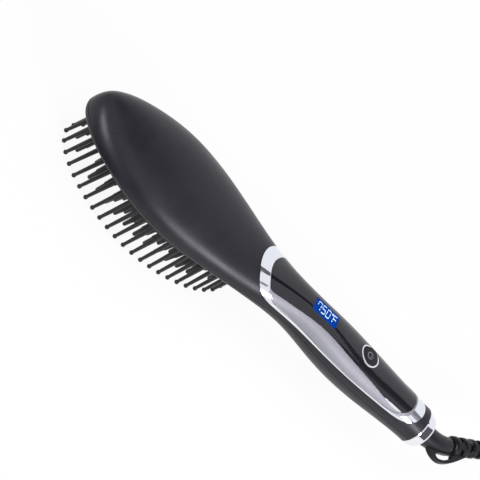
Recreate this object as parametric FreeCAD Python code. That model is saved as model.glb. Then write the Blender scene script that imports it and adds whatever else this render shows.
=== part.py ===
import FreeCAD, Part
import math
import os

# Heated straightening brush: an oval paddle head with ball tipped bristles round a toothed hot plate,
# a round handle with a gloss control panel, and a mains cord on a swivel at the handle's tail.
# Millimetres. +X runs from the head's nose to the tail, +Z from the bristle tips to the smooth back.
# Stations along the brush are distances from the nose. The bristle tips rest on Z = 0.

Vector = FreeCAD.Vector

# ---- driving dimensions ---------------------------------------------------------------------------

NOSE_X = -161.9
WALL = 2.2
SEAM_GAP = 0.3
SECTION_ROUND = 0.575
RIM_BOX = 0.87

# Control sections: station, half width, back height and belly depth about the parting, parting Z
# and how boxy the belly is.
SECTIONS = [
    (0, 0.0, 0.0, 0.0, 33.0, RIM_BOX),
    (0, 4.5, 13.0, 5.0, 33.0, RIM_BOX),
    (9, 16.0, 15.5, 5.0, 33.0, RIM_BOX),
    (29, 25.5, 17.0, 5.0, 33.0, RIM_BOX),
    (57, 33.0, 17.0, 5.0, 33.0, RIM_BOX),
    (87, 31.5, 16.0, 5.0, 32.0, RIM_BOX),
    (117, 25.0, 13.0, 4.5, 31.0, 0.8),
    (145, 18.0, 12.0, 9.0, 30.0, 0.65),
    (173, 12.5, 15.5, 12.5, 30.5, SECTION_ROUND),
    (205, 16.5, 16.0, 16.5, 29.5, SECTION_ROUND),
    (238, 15.0, 14.5, 16.5, 29.0, SECTION_ROUND),
    (265, 12.5, 13.5, 12.0, 30.0, SECTION_ROUND),
    (280, 12.5, 12.5, 12.0, 31.0, SECTION_ROUND),
]
TAIL = SECTIONS[-1][0]
SWIVEL_Z = 30.5

# Bristle field: a superellipse about its own centre.
FIELD_CENTRE = 73.0
FIELD_POWER = 1.8
OPENING_A, OPENING_B = 66.5, 30.2
HANDLE_START = 142.0
ROOT_A, ROOT_B = 63.0, 28.6
TIP_A, TIP_B = 64.5, 30.9
OUTER_BRISTLES = 45
BRISTLE_ROOT_R, BRISTLE_END_R, BALL_R = 1.4, 1.0, 1.35
BASE_BOTTOM, BASE_STEP, BASE_TOP = 27.4, 29.6, 32.0
PLATE_BOTTOM, PLATE_TOP = 28.2, 31.2
PLATE_LEDGE = 3.1
TOOTH_RINGS = [(8.5, 32), (15.0, 25), (21.0, 15)]
TOOTH_SPINE = [-24.0, -12.0, 0.0, 12.0, 24.0]
TOOTH_ROOT_R, TOOTH_END_R, TOOTH_END_Z = 2.3, 1.9, 12.0
TIP_ROOT_R, TIP_END_R, TOOTH_TIP_Z = 1.55, 1.2, 2.6

# Control panel: side profiles of its edges, as station and Z, followed across the whole handle.
TRIM_PROUD, PANEL_PROUD, FACET_PROUD = 0.35, 0.2, -0.05
INLAY_FLOOR = 1.2
TRIM_EDGE = [
    (119, 48.8), (131, 43.2), (134.5, 41.6), (138, 39.6), (143.3, 37.0), (149, 35.3), (157, 34.3),
    (203, 34.6), (243, 35.3), (257, 35.9), (264, 36.9), (269, 38.8), (272.5, 41.4), (274, 43.3), (277, 47.5),
]
PANEL_EDGE = [
    (129, 47.5), (139.3, 43.0), (143, 41.5), (145.5, 40.3), (149, 39.9), (155, 40.3), (163, 41.0),
    (183, 43.1), (215, 42.3), (247, 39.7), (259, 39.5), (263, 41.0), (265.7, 43.4), (268, 46.5),
]
FACET_EDGE = [
    (143.5, 44.0), (145.5, 39.8), (150, 37.5), (156, 35.8), (168, 35.2), (203, 35.4), (243, 36.2),
    (255, 37.4), (262, 40.5), (264, 44.0),
]
DISPLAY_AT, DISPLAY_LENGTH, DISPLAY_WIDTH = 182.5, 19.0, 9.0
BUTTON_AT, BUTTON_Y = 222.0, 0.8
BUTTON_LENGTH, BUTTON_WIDTH, BUTTON_RING = 12.8, 10.8, 1.0
BUTTON_TRAVEL = 0.6
BUTTON_TOP_PROUD = 0.7

BOARD_Z, BOARD_THICK = 31.5, 1.6
BOARD_START, BOARD_END, BOARD_WIDTH = 158.0, 254.0, 20.0
SHELL_SCREWS = [150.0, 203.0, 260.0]
BOARD_SCREWS = [164.0, 246.0]
PLATE_SCREWS = [(24.0, 9.0), (24.0, -9.0), (121.5, 9.0), (121.5, -9.0)]
SCREW_SEAT, HEAD_R, HEAD_H, SHANK_R = 24.0, 2.4, 1.6, 1.2
POST_R, BOARD_POST_R, PLATE_POST_R, POST_MEET = 3.2, 2.6, 3.2, 31.0
WELL_R, PLUG_GAP, PLATE_WELL_R = 3.0, 0.1, 2.6
SLOT_LENGTH, SLOT_WIDTH, SLOT_DEPTH = 3.2, 0.7, 0.7

SWITCH_SIDE, SWITCH_HEIGHT, SWITCH_STEM_R, SWITCH_REACH = 6.2, 3.4, 1.7, 4.2
CAP_DEPTH, CAP_WALL, CAP_DOME_R, CAP_STEM_R = 5.5, 1.1, 60.0, 1.6
SPRING_R, SPRING_WIRE_R, SPRING_TURNS, SPRING_CLEARANCE = 4.7, 0.25, 3.5, 0.25
LIGHT_BOX_MARGIN, LIGHT_BOX_STEP, LIGHT_FACE_HEIGHT = 3.0, 3.2, 2.3
TRIAC_AT, TRIAC_Y, TRIAC_LENGTH, TRIAC_WIDTH, TRIAC_HEIGHT = 236.0, 4.8, 10.0, 4.6, 4.5
TAB_THICK, TAB_HEIGHT = 1.2, 5.5
CAPACITOR_Y, CAPACITOR_R, CAPACITOR_LENGTH = -5.5, 3.0, 10.0

HEATER_LENGTH, HEATER_WIDTH, HEATER_THICK = 88.0, 22.0, 3.0
WALL_THICK, WALL_HEIGHT, WALL_Y = 2.0, 5.6, 12.2
CLAMP_LENGTH, CLAMP_THICK, CLAMP_SPREAD = 8.0, 0.8, 28.0
SHEET_WIDTH, SHEET_THICK, SHEET_MARGIN, SHEET_ROUND = 28.0, 0.6, 6.0, 4.0
SENSOR_Y, FUSE_LENGTH, FUSE_R, THERMISTOR_R = 18.0, 12.0, 2.0, 1.5
LEAD_R, SUPPLY_R = 0.8, 0.9
# A heater lead's bends as distances past the heater's end, Y of the inner and outer leads, and Z.
LEAD_ROUTE = [(0.1, 1.6, 4.2, 33.2), (10, 1.8, 4.5, 34.2), (25, 4.5, 7.0, 34.8), (44, 4.6, 7.1, 34.0)]

RING_END, RING_R, RING_END_R = 288.3, 12.6, 11.0
SOCKET_START, SOCKET_R, SOCKET_FLOOR = 266.0, 9.0, 2.0
JOURNAL_R, JOURNAL_GAP = 5.0, 0.05
CONTACT_STATIONS = [272.0, 277.0]
CONTACT_WIDTH, CONTACT_DEPTH = 2.0, 0.8
BRUSH_LENGTH, BRUSH_WIDTH = 2.2, 3.2
BOOT_R, BOOT_END_R, BOOT_BEND_R, BOOT_TURN = 7.0, 5.2, 39.0, 33.0
BOOT_SECTIONS = 6
LOOP_THICK = 3.0
# Hang loop: its edge and its hole as angles round the boot's bend and offsets from the boot's centre
# line, then its shank beside the strain relief as distances along and across from the boot's end.
LOOP_OUTSIDE = [(8.5, -6.4), (11.5, -9.2), (15.5, -11.2), (20.4, -12.3), (26.5, -12.0), (33.5, -10.8)]
LOOP_SHANK = [(8, 8.6), (15, 6.2)]
LOOP_HOLE = [
    (17, -8.8), (18.8, -10.1), (22, -10.4), (26, -10.0), (30, -9.1), (34.2, -7.9), (35, -7), (30, -6.2),
    (23, -6.4), (19, -7.1),
]
RIB_COUNT, RIB_PITCH, RIB_LENGTH, RIB_R, RIB_END_R, RIB_CORE_R = 7, 8.0, 5.6, 6.4, 5.2, 4.2
RIB_EDGE, RIB_SHOULDER = 1.7, 0.3
WEB_DEPTH, WEB_SINK, WEB_WIDTH, WEB_LENGTH, WEB_TILT = 1.9, 0.5, 4.8, 3.4, 40.0
CORD_R = 3.2
# Corners of the cord's two free stretches: station, Y, Z. The first follows on from the strain relief.
CORD_ROUTE = [
    (366.6, 43.3, 30.5), (379.1, 48.9, 28.2), (393.7, 51.6, 22.4), (408.9, 51.8, 13.8), (423.9, 51.0, 6.6),
    (439.4, 49.9, 3.2), (455.4, 49.0, 3.3), (471.2, 47.3, 3.2),
]
TAIL_ROUTE = [
    (534.2, 48.3, 9.7), (547.3, 50.3, 9.5), (562.8, 49.7, 9.0), (577.8, 47.1, 8.5), (591.3, 43.1, 8.5),
]
# Hank: two round folds about centres at equal distances from its middle, drawn in to a waist by the tie.
HANK_AT, HANK_Y, HANK_HEIGHT = 503.8, 15.0, 13.2
FOLD_R, FOLD_AT, HANK_WAIST = 37.1, 43.0, 44.4
TIE_LENGTH, TIE_THICK, TIE_GAP, TIE_ROUND = 12.0, 1.5, 0.7, 1.2
PLUG_LENGTH, PLUG_WIDTH, PLUG_THICK = 34.0, 24.0, 17.0
COLLAR_LENGTH, COLLAR_R, PLUG_ROUND = 12.0, 6.0, 3.0
PIN_LENGTH, PIN_WIDTH, PIN_THICK, PIN_SPACING = 16.0, 6.35, 1.5, 12.7
PIN_HOLE_R, PIN_HOLE_INSET = 1.5, 3.5
BOARD_TOP = BOARD_Z + BOARD_THICK
SWITCH_TOP = BOARD_TOP + SWITCH_REACH
PLATE_SCREW_HEAD = PLATE_BOTTOM + 0.2


# ---- helpers --------------------------------------------------------------------------------------

def at(station, y=0.0, z=0.0):
    """A point from its station along the brush."""
    return Vector(NOSE_X + station, y, z)


def rod(radius, start, end):
    """A round bar between two points."""
    axis = end - start
    return Part.makeCylinder(radius, axis.Length, start, axis)


def cone(start_r, end_r, start, end):
    """A tapered round bar between two points."""
    axis = end - start
    return Part.makeCone(start_r, end_r, axis.Length, start, axis)


def tube(outer, inner, start, end):
    """A hollow round bar between two points."""
    return rod(outer, start, end).cut(rod(inner, start, end))


def block(length, width, height, centre, base_z):
    """A box centred in plan on a point, standing on base_z."""
    corner = Vector(centre.x - length / 2, centre.y - width / 2, base_z)
    return Part.makeBox(length, width, height, corner)


def rounded_block(length, width, height, centre, base_z, radius):
    """A box with its four upright edges rounded."""
    box = block(length, width, height, centre, base_z)
    upright = [e for e in box.Edges if abs(e.tangentAt(e.FirstParameter).z) > 0.99]
    return box.makeFillet(radius, upright)


def revolved(profile, origin, axis):
    """A turned solid from (distance along the axis, radius) pairs, which start and end on the axis."""
    points = [Vector(radius, 0, along) for along, radius in profile]
    face = Part.Face(Part.makePolygon(points + [points[0]]))
    solid = face.revolve(Vector(0, 0, 0), Vector(0, 0, 1), 360)
    solid.Placement = FreeCAD.Placement(origin, FreeCAD.Rotation(Vector(0, 0, 1), axis))
    return solid


def uniform_knots(poles, degree=3):
    """Clamped knots and their multiplicities for a row of poles."""
    spans = poles - degree
    knots = [float(i) for i in range(spans + 1)]
    multiplicities = [degree + 1] + [1] * (spans - 1) + [degree + 1]
    return knots, multiplicities


def skin(inset, side):
    """The back (side +1) or belly (side -1) surface, moved inwards by an inset."""
    rows = []
    for index, (station, width, back, belly, parting, belly_round) in enumerate(SECTIONS):
        nose_shift = inset if index < 2 else 0.0
        tail_shift = max(inset, 0.0) if index == len(SECTIONS) - 1 else 0.0
        half = max(width - inset, 0.0) if index else 0.0
        height = (back if side > 0 else belly) - inset
        height = side * max(height, 0.0) if index else 0.0
        corner = SECTION_ROUND if side > 0 else belly_round
        shape = [(-1, 0), (-1, corner), (-corner, 1), (corner, 1), (1, corner), (1, 0)]
        x = station + nose_shift + tail_shift
        rows.append([at(x, half * across, parting + height * up) for across, up in shape])
    knots, multiplicities = uniform_knots(len(rows))
    surface = Part.BSplineSurface()
    surface.buildFromPolesMultsKnots(
        rows, multiplicities, [4, 2, 4], knots, [0.0, 0.5, 1.0], False, False, 3, 3
    )
    return surface.toShape()


def body(inset):
    """The whole outline of head and handle as one solid, moved inwards by an inset."""
    faces = [skin(inset, 1), skin(inset, -1)]
    tail_x = max(v.X for face in faces for v in face.Vertexes)
    tail_edges = [
        edge for face in faces for edge in face.Edges
        if all(abs(v.X - tail_x) < 1e-4 for v in edge.Vertexes) and edge.Length > 1
    ]
    faces.append(Part.Face(Part.Wire(Part.__sortEdges__(tail_edges))))
    shell = Part.makeShell(faces)
    shell.sewShape(0.001)
    solid = Part.Solid(shell)
    if solid.Volume < 0:
        solid.reverse()
    return solid


def side_region(curve_edges, lift=0.0, top=90.0):
    """Everything above a side view curve, right across the brush."""
    edges = [edge.translated(Vector(0, -60, lift)) for edge in curve_edges]
    first = edges[0].valueAt(edges[0].FirstParameter)
    last = edges[-1].valueAt(edges[-1].LastParameter)
    over_last = Vector(last.x, last.y, top)
    over_first = Vector(first.x, first.y, top)
    edges.append(Part.makeLine(last, over_last))
    edges.append(Part.makeLine(over_last, over_first))
    edges.append(Part.makeLine(over_first, first))
    return Part.Face(Part.Wire(edges)).extrude(Vector(0, 120, 0))


def above_edge(profile, lift=0.0):
    """The region above a smooth edge given as (station, Z) pairs."""
    curve = Part.BSplineCurve()
    curve.interpolate([at(station, 0, z) for station, z in profile])
    return side_region([curve.toShape()], lift)


def above_parting(lift=0.0):
    """The region above the parting between back and belly."""
    poles = [at(station, 0, parting) for station, _, _, _, parting, _ in SECTIONS]
    knots, multiplicities = uniform_knots(len(poles))
    curve = Part.BSplineCurve()
    curve.buildFromPolesMultsKnots(poles, multiplicities, knots, False, 3)
    nose = Part.makeLine(poles[0] - Vector(20, 0, 0), poles[0])
    tail = Part.makeLine(poles[-1], poles[-1] + Vector(20, 0, 0))
    return side_region([nose, curve.toShape(), tail], lift)


def field_point(a, b, angle):
    """A point on a superellipse of the bristle field, as station and Y."""
    c, s = math.cos(angle), math.sin(angle)
    power = 2.0 / FIELD_POWER
    x = a * math.copysign(abs(c) ** power, c)
    y = b * math.copysign(abs(s) ** power, s)
    return FIELD_CENTRE + x, y


def field_ring(a, b, count, start=0.0):
    """Points evenly spaced round a superellipse, by arc length."""
    steps = 1440
    fine = [field_point(a, b, 2 * math.pi * i / steps) for i in range(steps + 1)]
    lengths = [0.0]
    for (x0, y0), (x1, y1) in zip(fine, fine[1:]):
        lengths.append(lengths[-1] + math.hypot(x1 - x0, y1 - y0))
    ring = []
    for k in range(count):
        target = lengths[-1] * ((k + start) / count % 1.0)
        index = next(i for i in range(steps) if lengths[i + 1] >= target)
        share = (target - lengths[index]) / (lengths[index + 1] - lengths[index])
        (x0, y0), (x1, y1) = fine[index], fine[index + 1]
        ring.append((x0 + share * (x1 - x0), y0 + share * (y1 - y0)))
    return ring


def field_prism(inset, low, high):
    """An upright prism on the bristle opening's outline, moved inwards by an inset."""
    a, b = OPENING_A - inset, OPENING_B - inset
    points = [at(x, y, low) for x, y in field_ring(a, b, 40)]
    curve = Part.BSplineCurve()
    curve.interpolate(points, PeriodicFlag=True)
    return Part.Face(Part.Wire(curve.toShape())).extrude(Vector(0, 0, high - low))


def egg_prism(length, width, low, high, centre_station, centre_y):
    """An upright prism on an egg whose narrow end points to the head."""
    points = []
    count = 24
    for k in range(count):
        angle = 2 * math.pi * k / count
        x = length / 2 * math.cos(angle)
        y = width / 2 * math.sin(angle) * (1 + 0.1 * math.cos(angle))
        points.append(at(centre_station + x, centre_y + y, low))
    curve = Part.BSplineCurve()
    curve.interpolate(points, PeriodicFlag=True)
    return Part.Face(Part.Wire(curve.toShape())).extrude(Vector(0, 0, high - low))


def cord_tube(route, radius):
    """Straight runs joined by the largest tangent arcs that they allow. Prints each radius."""
    corners = [at(*point) for point in route]
    edges = []
    reached = corners[0]
    for before, corner, after in zip(corners, corners[1:], corners[2:]):
        come, leave = corner - before, after - corner
        shorter = min(come.Length, leave.Length)
        turn = come.getAngle(leave)
        cut = 0.45 * shorter
        arc_radius = cut / math.tan(turn / 2)
        start = corner - come.normalize() * cut
        end = corner + leave.normalize() * cut
        middle_axis = (start + end) * 0.5 - corner
        centre_distance = math.hypot(arc_radius, cut)
        middle = corner + middle_axis.normalize() * (centre_distance - arc_radius)
        edges.append(Part.LineSegment(reached, start).toShape())
        edges.append(Part.Arc(start, middle, end).toShape())
        reached = end
        print("cord corner", [round(v, 1) for v in corner], "radius", round(arc_radius, 1))
    edges.append(Part.LineSegment(reached, corners[-1]).toShape())
    path = Part.Wire(edges)
    circle = Part.makeCircle(radius, corners[0], corners[1] - corners[0])
    solid = path.makePipeShell([Part.Wire(circle)], True, False)
    expected = math.pi * radius ** 2 * path.Length
    print("cord length", round(path.Length, 1), "volume ratio", round(solid.Volume / expected, 4))
    return solid


# ---- shells and control panel ---------------------------------------------------------------------

def crown_z(station):
    """Height of the back's crown at a station of the handle."""
    line = Part.makeLine(at(station, 0, 32), at(station, 0, 60))
    return max(v.Z for v in OUTER.common(line).Vertexes)


def screw_post(station, y, low, high, radius=POST_R):
    """A solid screw post, whose pilot hole is cut by the screw itself."""
    return rod(radius, at(station, y, low), at(station, y, high))


def display_prism(clearance, low, high):
    """An upright prism on the display's outline, grown by a clearance."""
    size = (DISPLAY_LENGTH + 2 * clearance, DISPLAY_WIDTH + 2 * clearance)
    return rounded_block(*size, high - low, at(DISPLAY_AT), low, 1.0 + clearance)


def button_prism(clearance, low, high):
    """An upright prism on the button's outline, grown by a clearance."""
    size = (BUTTON_LENGTH + 2 * clearance, BUTTON_WIDTH + 2 * clearance)
    return egg_prism(*size, low, high, BUTTON_AT, BUTTON_Y)


def handle_zone(start):
    """Everything behind a station, which is the hollow handle."""
    return Part.makeBox(300, 120, 120, at(start, -60, -20))


def make_back_shell():
    """Smooth back of the head and upper half of the handle."""
    shell = OUTER.common(above_parting(SEAM_GAP / 2)).cut(INNER)
    lip_zone = body(1.1).cut(above_parting(1.5)).common(handle_zone(HANDLE_START - 0.2))
    shell = shell.cut(lip_zone)
    posts = [screw_post(x, y, PLATE_TOP, 60, PLATE_POST_R) for x, y in PLATE_SCREWS]
    posts += [screw_post(x, 0, POST_MEET, 60) for x in SHELL_SCREWS[:1] + SHELL_SCREWS[2:]]
    posts.append(screw_post(SHELL_SCREWS[1], 0, BOARD_TOP, 60))
    posts += [screw_post(x, 0, BOARD_TOP, 60, BOARD_POST_R) for x in BOARD_SCREWS]
    inside = body(WALL - 0.3)
    shell = shell.fuse([post.common(inside) for post in posts])
    inlay = above_edge(TRIM_EDGE).cut(body(INLAY_FLOOR))
    shell = shell.cut(inlay)
    apertures = [display_prism(0.4, 38, 60), button_prism(1.6, 38, 60)]
    return shell.cut(apertures + ALL_SCREWS)


def make_front_shell():
    """Lower half of the handle and the rim that frames the bristle field."""
    below = OUTER.cut(above_parting(-SEAM_GAP / 2))
    handle = handle_zone(HANDLE_START)
    shell = below.cut(INNER.common(handle)).cut(field_prism(0, 0, 60))
    tongue = body(1.2).cut(body(WALL)).cut(above_parting(1.4)).common(above_parting(-1.0))
    tongue = tongue.common(handle).common(OUTER)
    posts = [screw_post(x, 0, 5, POST_MEET - SEAM_GAP) for x in SHELL_SCREWS]
    shell = shell.fuse([tongue] + [post.common(below) for post in posts])
    wells = [rod(WELL_R, at(x, 0, 0), at(x, 0, SCREW_SEAT + HEAD_H)) for x in SHELL_SCREWS]
    cord_well = rod(SOCKET_R, at(SOCKET_START, 0, SWIVEL_Z), at(TAIL + 5, 0, SWIVEL_Z))
    return shell.cut([cord_well] + wells + ALL_SCREWS)


def make_trim_ring():
    """Chrome loop round the panel, with a recessed facet along each side."""
    zone = body(-TRIM_PROUD).cut(body(INLAY_FLOOR)).common(above_edge(TRIM_EDGE, 0.05))
    facet = body(-TRIM_PROUD - 0.2).cut(body(-FACET_PROUD)).common(above_edge(FACET_EDGE))
    return zone.cut([above_edge(PANEL_EDGE, -0.1), facet, button_prism(BUTTON_RING + 0.05, 38, 60)])


def make_control_panel():
    """Gloss panel inside the loop, with openings for the display and the button."""
    zone = body(-PANEL_PROUD).cut(body(INLAY_FLOOR)).common(above_edge(PANEL_EDGE))
    return zone.cut([display_prism(0.1, 38, 60), button_prism(BUTTON_RING + 0.05, 38, 60)])


def make_display_window():
    """Clear blue lens, flush with the panel."""
    lens = body(-PANEL_PROUD).cut(body(INLAY_FLOOR))
    return lens.common(display_prism(0, 38, 60))


def make_button_ring():
    """Chrome ring round the button, on the panel's inlay floor."""
    ring = body(-PANEL_PROUD - 0.5).cut(body(INLAY_FLOOR))
    return ring.common(button_prism(BUTTON_RING, 38, 60)).cut(button_prism(0.15, 38, 60))


def make_power_button():
    """Egg shaped cap, hollow below, with a stem for the switch."""
    top = crown_z(BUTTON_AT) + BUTTON_TOP_PROUD
    skirt = button_prism(0, top - CAP_DEPTH, top)
    dome = Part.makeSphere(CAP_DOME_R, at(BUTTON_AT, BUTTON_Y, top - CAP_DOME_R))
    cap = skirt.common(dome)
    cap = cap.cut(button_prism(-CAP_WALL, top - CAP_DEPTH - 0.5, top - 1.8))
    stem_end = SWITCH_TOP + 0.1 + BUTTON_TRAVEL
    stem = rod(CAP_STEM_R, at(BUTTON_AT, BUTTON_Y, stem_end), at(BUTTON_AT, BUTTON_Y, top - 1.5))
    return cap.fuse(stem)


# ---- electronics in the handle --------------------------------------------------------------------

def make_circuit_board():
    """Control board along the handle, with holes for the screws that pass it."""
    middle = (BOARD_START + BOARD_END) / 2
    board = rounded_block(BOARD_END - BOARD_START, BOARD_WIDTH, BOARD_THICK, at(middle), BOARD_Z, 3)
    return board.cut([rod(3.4, at(SHELL_SCREWS[1], 0, 20), at(SHELL_SCREWS[1], 0, 50))] + BOARD_SCREW_SOLIDS)


def make_display_module():
    """Light box with a lit face under the display lens."""
    box_top = crown_z(DISPLAY_AT) - INLAY_FLOOR - LIGHT_BOX_STEP
    length, width = DISPLAY_LENGTH + LIGHT_BOX_MARGIN, DISPLAY_WIDTH + LIGHT_BOX_MARGIN
    base = block(length, width, box_top - BOARD_TOP, at(DISPLAY_AT), BOARD_TOP)
    face = block(DISPLAY_LENGTH - 1, DISPLAY_WIDTH - 1, LIGHT_FACE_HEIGHT, at(DISPLAY_AT), box_top)
    return base.fuse(face)


def make_tact_switch():
    """Push switch under the button."""
    case = block(SWITCH_SIDE, SWITCH_SIDE, SWITCH_HEIGHT, at(BUTTON_AT, BUTTON_Y), BOARD_TOP)
    stem_foot = at(BUTTON_AT, BUTTON_Y, BOARD_TOP + SWITCH_HEIGHT)
    return case.fuse(rod(SWITCH_STEM_R, stem_foot, at(BUTTON_AT, BUTTON_Y, SWITCH_TOP)))


def make_button_spring():
    """Return spring round the switch, from the board to the cap."""
    low = BOARD_TOP + SPRING_CLEARANCE
    high = crown_z(BUTTON_AT) + BUTTON_TOP_PROUD - CAP_DEPTH - SPRING_CLEARANCE - 0.02
    helix = Part.makeHelix((high - low) / SPRING_TURNS, high - low, SPRING_R)
    wire_circle = Part.Wire(Part.makeCircle(SPRING_WIRE_R, Vector(SPRING_R, 0, 0), Vector(0, 1, 0)))
    spring = Part.Wire(helix).makePipeShell([wire_circle], True, True)
    return spring.translated(at(BUTTON_AT, BUTTON_Y, low))


def make_power_parts():
    """Triac with its metal tab, and a lying capacitor, behind the button."""
    triac = block(TRIAC_LENGTH, TRIAC_WIDTH, TRIAC_HEIGHT, at(TRIAC_AT, TRIAC_Y), BOARD_TOP)
    tab_y = TRIAC_Y + (TRIAC_WIDTH + TAB_THICK) / 2
    tab = block(TRIAC_LENGTH, TAB_THICK, TAB_HEIGHT, at(TRIAC_AT, tab_y), BOARD_TOP)
    start = at(TRIAC_AT - CAPACITOR_LENGTH / 2, CAPACITOR_Y, BOARD_TOP + CAPACITOR_R)
    capacitor = rod(CAPACITOR_R, start, start + Vector(CAPACITOR_LENGTH, 0, 0))
    return triac.fuse(tab), capacitor


# ---- heated head ----------------------------------------------------------------------------------

def tooth_places():
    """Stations and Y of the teeth: rings inside the outer bristles, then a middle row."""
    places = []
    for number, (inset, count) in enumerate(TOOTH_RINGS):
        start = 0.5 * (number % 2)
        places += field_ring(OPENING_A - inset, OPENING_B - inset, count, start)
    places += [(FIELD_CENTRE + offset, 0.0) for offset in TOOTH_SPINE]
    reach = TOOTH_ROOT_R + PLATE_WELL_R + 0.4
    return [place for place in places if all(math.dist(place, spot) > reach for spot in PLATE_SCREWS)]


def make_bristle_base():
    """Nylon ring in the rim's opening that carries the outer bristles and clips over the plate's flange."""
    ring = field_prism(0.15, BASE_BOTTOM, BASE_TOP)
    flange_hole = field_prism(PLATE_LEDGE, BASE_BOTTOM, BASE_STEP)
    upper_hole = field_prism(PLATE_LEDGE + 1.2, BASE_BOTTOM, BASE_TOP)
    post_notches = [screw_post(x, y, BASE_BOTTOM, BASE_TOP, PLATE_POST_R + 0.1) for x, y in PLATE_SCREWS]
    return ring.cut([flange_hole, upper_hole] + post_notches)


def make_outer_bristles():
    """Ball tipped bristles that splay slightly outwards."""
    roots = field_ring(ROOT_A, ROOT_B, OUTER_BRISTLES, 0.5)
    tips = field_ring(TIP_A, TIP_B, OUTER_BRISTLES, 0.5)
    bristles = []
    for root, tip in zip(roots, tips):
        foot = at(*root, BASE_BOTTOM)
        ball = at(*tip, BALL_R)
        shaft = cone(BRISTLE_ROOT_R, BRISTLE_END_R, foot + (foot - ball).normalize() * 0.4, ball)
        shaft = shaft.cut(block(200, 100, 5, at(FIELD_CENTRE), BASE_BOTTOM))
        bristles.append(shaft.fuse(Part.makeSphere(BALL_R, ball)).removeSplitter())
    return Part.makeCompound(bristles)


def make_heating_plate():
    """Die cast plate with a flange under the bristle base and two walls that hold the heater."""
    flange = field_prism(PLATE_LEDGE + 0.1, PLATE_BOTTOM, BASE_STEP)
    upper = field_prism(PLATE_LEDGE + 1.3, BASE_STEP, PLATE_TOP)
    walls = [
        block(HEATER_LENGTH, WALL_THICK, WALL_HEIGHT, at(FIELD_CENTRE, side * WALL_Y), PLATE_TOP)
        for side in (1, -1)
    ]
    plate = flange.fuse([upper] + walls).removeSplitter()
    wells = [rod(PLATE_WELL_R, at(x, y, 20), at(x, y, PLATE_SCREW_HEAD + HEAD_H)) for x, y in PLATE_SCREWS]
    return plate.cut(PLATE_SCREW_SOLIDS + wells)


def make_teeth():
    """Conical teeth on the plate, and the heat proof pins that tip them."""
    teeth, tips = [], []
    for station, y in tooth_places():
        root, end = at(station, y, PLATE_BOTTOM), at(station, y, TOOTH_END_Z)
        teeth.append(cone(TOOTH_ROOT_R, TOOTH_END_R, root, end))
        ball = at(station, y, TOOTH_TIP_Z + TIP_END_R)
        pin = cone(TIP_ROOT_R, TIP_END_R, end, ball)
        tips.append(pin.fuse(Part.makeSphere(TIP_END_R, ball)).removeSplitter())
    return Part.makeCompound(teeth), Part.makeCompound(tips)


def make_heater_parts():
    """Ceramic heater, the springs that press it down, the sheet over it and the two sensors."""
    heater = block(HEATER_LENGTH, HEATER_WIDTH, HEATER_THICK, at(FIELD_CENTRE), PLATE_TOP)
    clamps = [
        block(CLAMP_LENGTH, HEATER_WIDTH + 0.4, CLAMP_THICK, at(FIELD_CENTRE + x), PLATE_TOP + HEATER_THICK)
        for x in (-CLAMP_SPREAD, CLAMP_SPREAD)
    ]
    sheet_size = (HEATER_LENGTH - SHEET_MARGIN, SHEET_WIDTH, SHEET_THICK)
    sheet = rounded_block(*sheet_size, at(FIELD_CENTRE), PLATE_TOP + WALL_HEIGHT, SHEET_ROUND)
    sheet = sheet.cut([screw_post(x, y, PLATE_TOP, 60, PLATE_POST_R + 0.4) for x, y in PLATE_SCREWS])
    fuse_start = at(FIELD_CENTRE - FUSE_LENGTH / 2, SENSOR_Y, PLATE_TOP + FUSE_R)
    thermal_fuse = rod(FUSE_R, fuse_start, fuse_start + Vector(FUSE_LENGTH, 0, 0))
    thermistor = Part.makeSphere(THERMISTOR_R, at(FIELD_CENTRE, -SENSOR_Y, PLATE_TOP + THERMISTOR_R))
    return heater, Part.makeCompound(clamps), sheet, thermal_fuse, thermistor


def make_wires():
    """Heater leads through the neck between the screw posts, and the board's supply leads."""
    heater_end = FIELD_CENTRE + HEATER_LENGTH / 2
    leads = []
    for side in (-1, 1):
        inner = [(heater_end + past, side * inner_y, z) for past, inner_y, _, z in LEAD_ROUTE]
        outer = [(heater_end + past, side * outer_y, z) for past, _, outer_y, z in LEAD_ROUTE]
        leads += [cord_tube(inner, LEAD_R), cord_tube(outer, LEAD_R)]
    supply = []
    for y in (-6.5, 6.5):
        start = at(BOARD_END - 4, y, BOARD_TOP + SUPPLY_R)
        supply.append(rod(SUPPLY_R, start, at(SOCKET_START, y, BOARD_TOP + SUPPLY_R)))
    return Part.makeCompound(leads), Part.makeCompound(supply)


# ---- screws ---------------------------------------------------------------------------------------

def screw(station, y, head_z, tip_z):
    """A pan head screw driven upwards, with a cross slot."""
    neck = at(station, y, head_z + HEAD_H)
    head = rod(HEAD_R, at(station, y, head_z), neck)
    shank = rod(SHANK_R, neck, at(station, y, tip_z))
    sizes = [(SLOT_LENGTH, SLOT_WIDTH), (SLOT_WIDTH, SLOT_LENGTH)]
    slots = [block(*size, 2 * SLOT_DEPTH, at(station, y), head_z - SLOT_DEPTH) for size in sizes]
    return head.fuse(shank).cut(slots)


def belly_z(station):
    """Height of the handle's belly at a station."""
    line = Part.makeLine(at(station, 0, 0), at(station, 0, 28))
    return min(v.Z for v in OUTER.common(line).Vertexes)


def make_screw_plugs():
    """Round plugs that close the screw wells, flush with the belly."""
    plugs = []
    for station in SHELL_SCREWS:
        stem = rod(WELL_R - PLUG_GAP, at(station, 0, 0), at(station, 0, belly_z(station) + 3))
        plugs.append(stem.common(body(0.05)))
    return Part.makeCompound(plugs)


# ---- swivel, boot and strain relief ---------------------------------------------------------------

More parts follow.
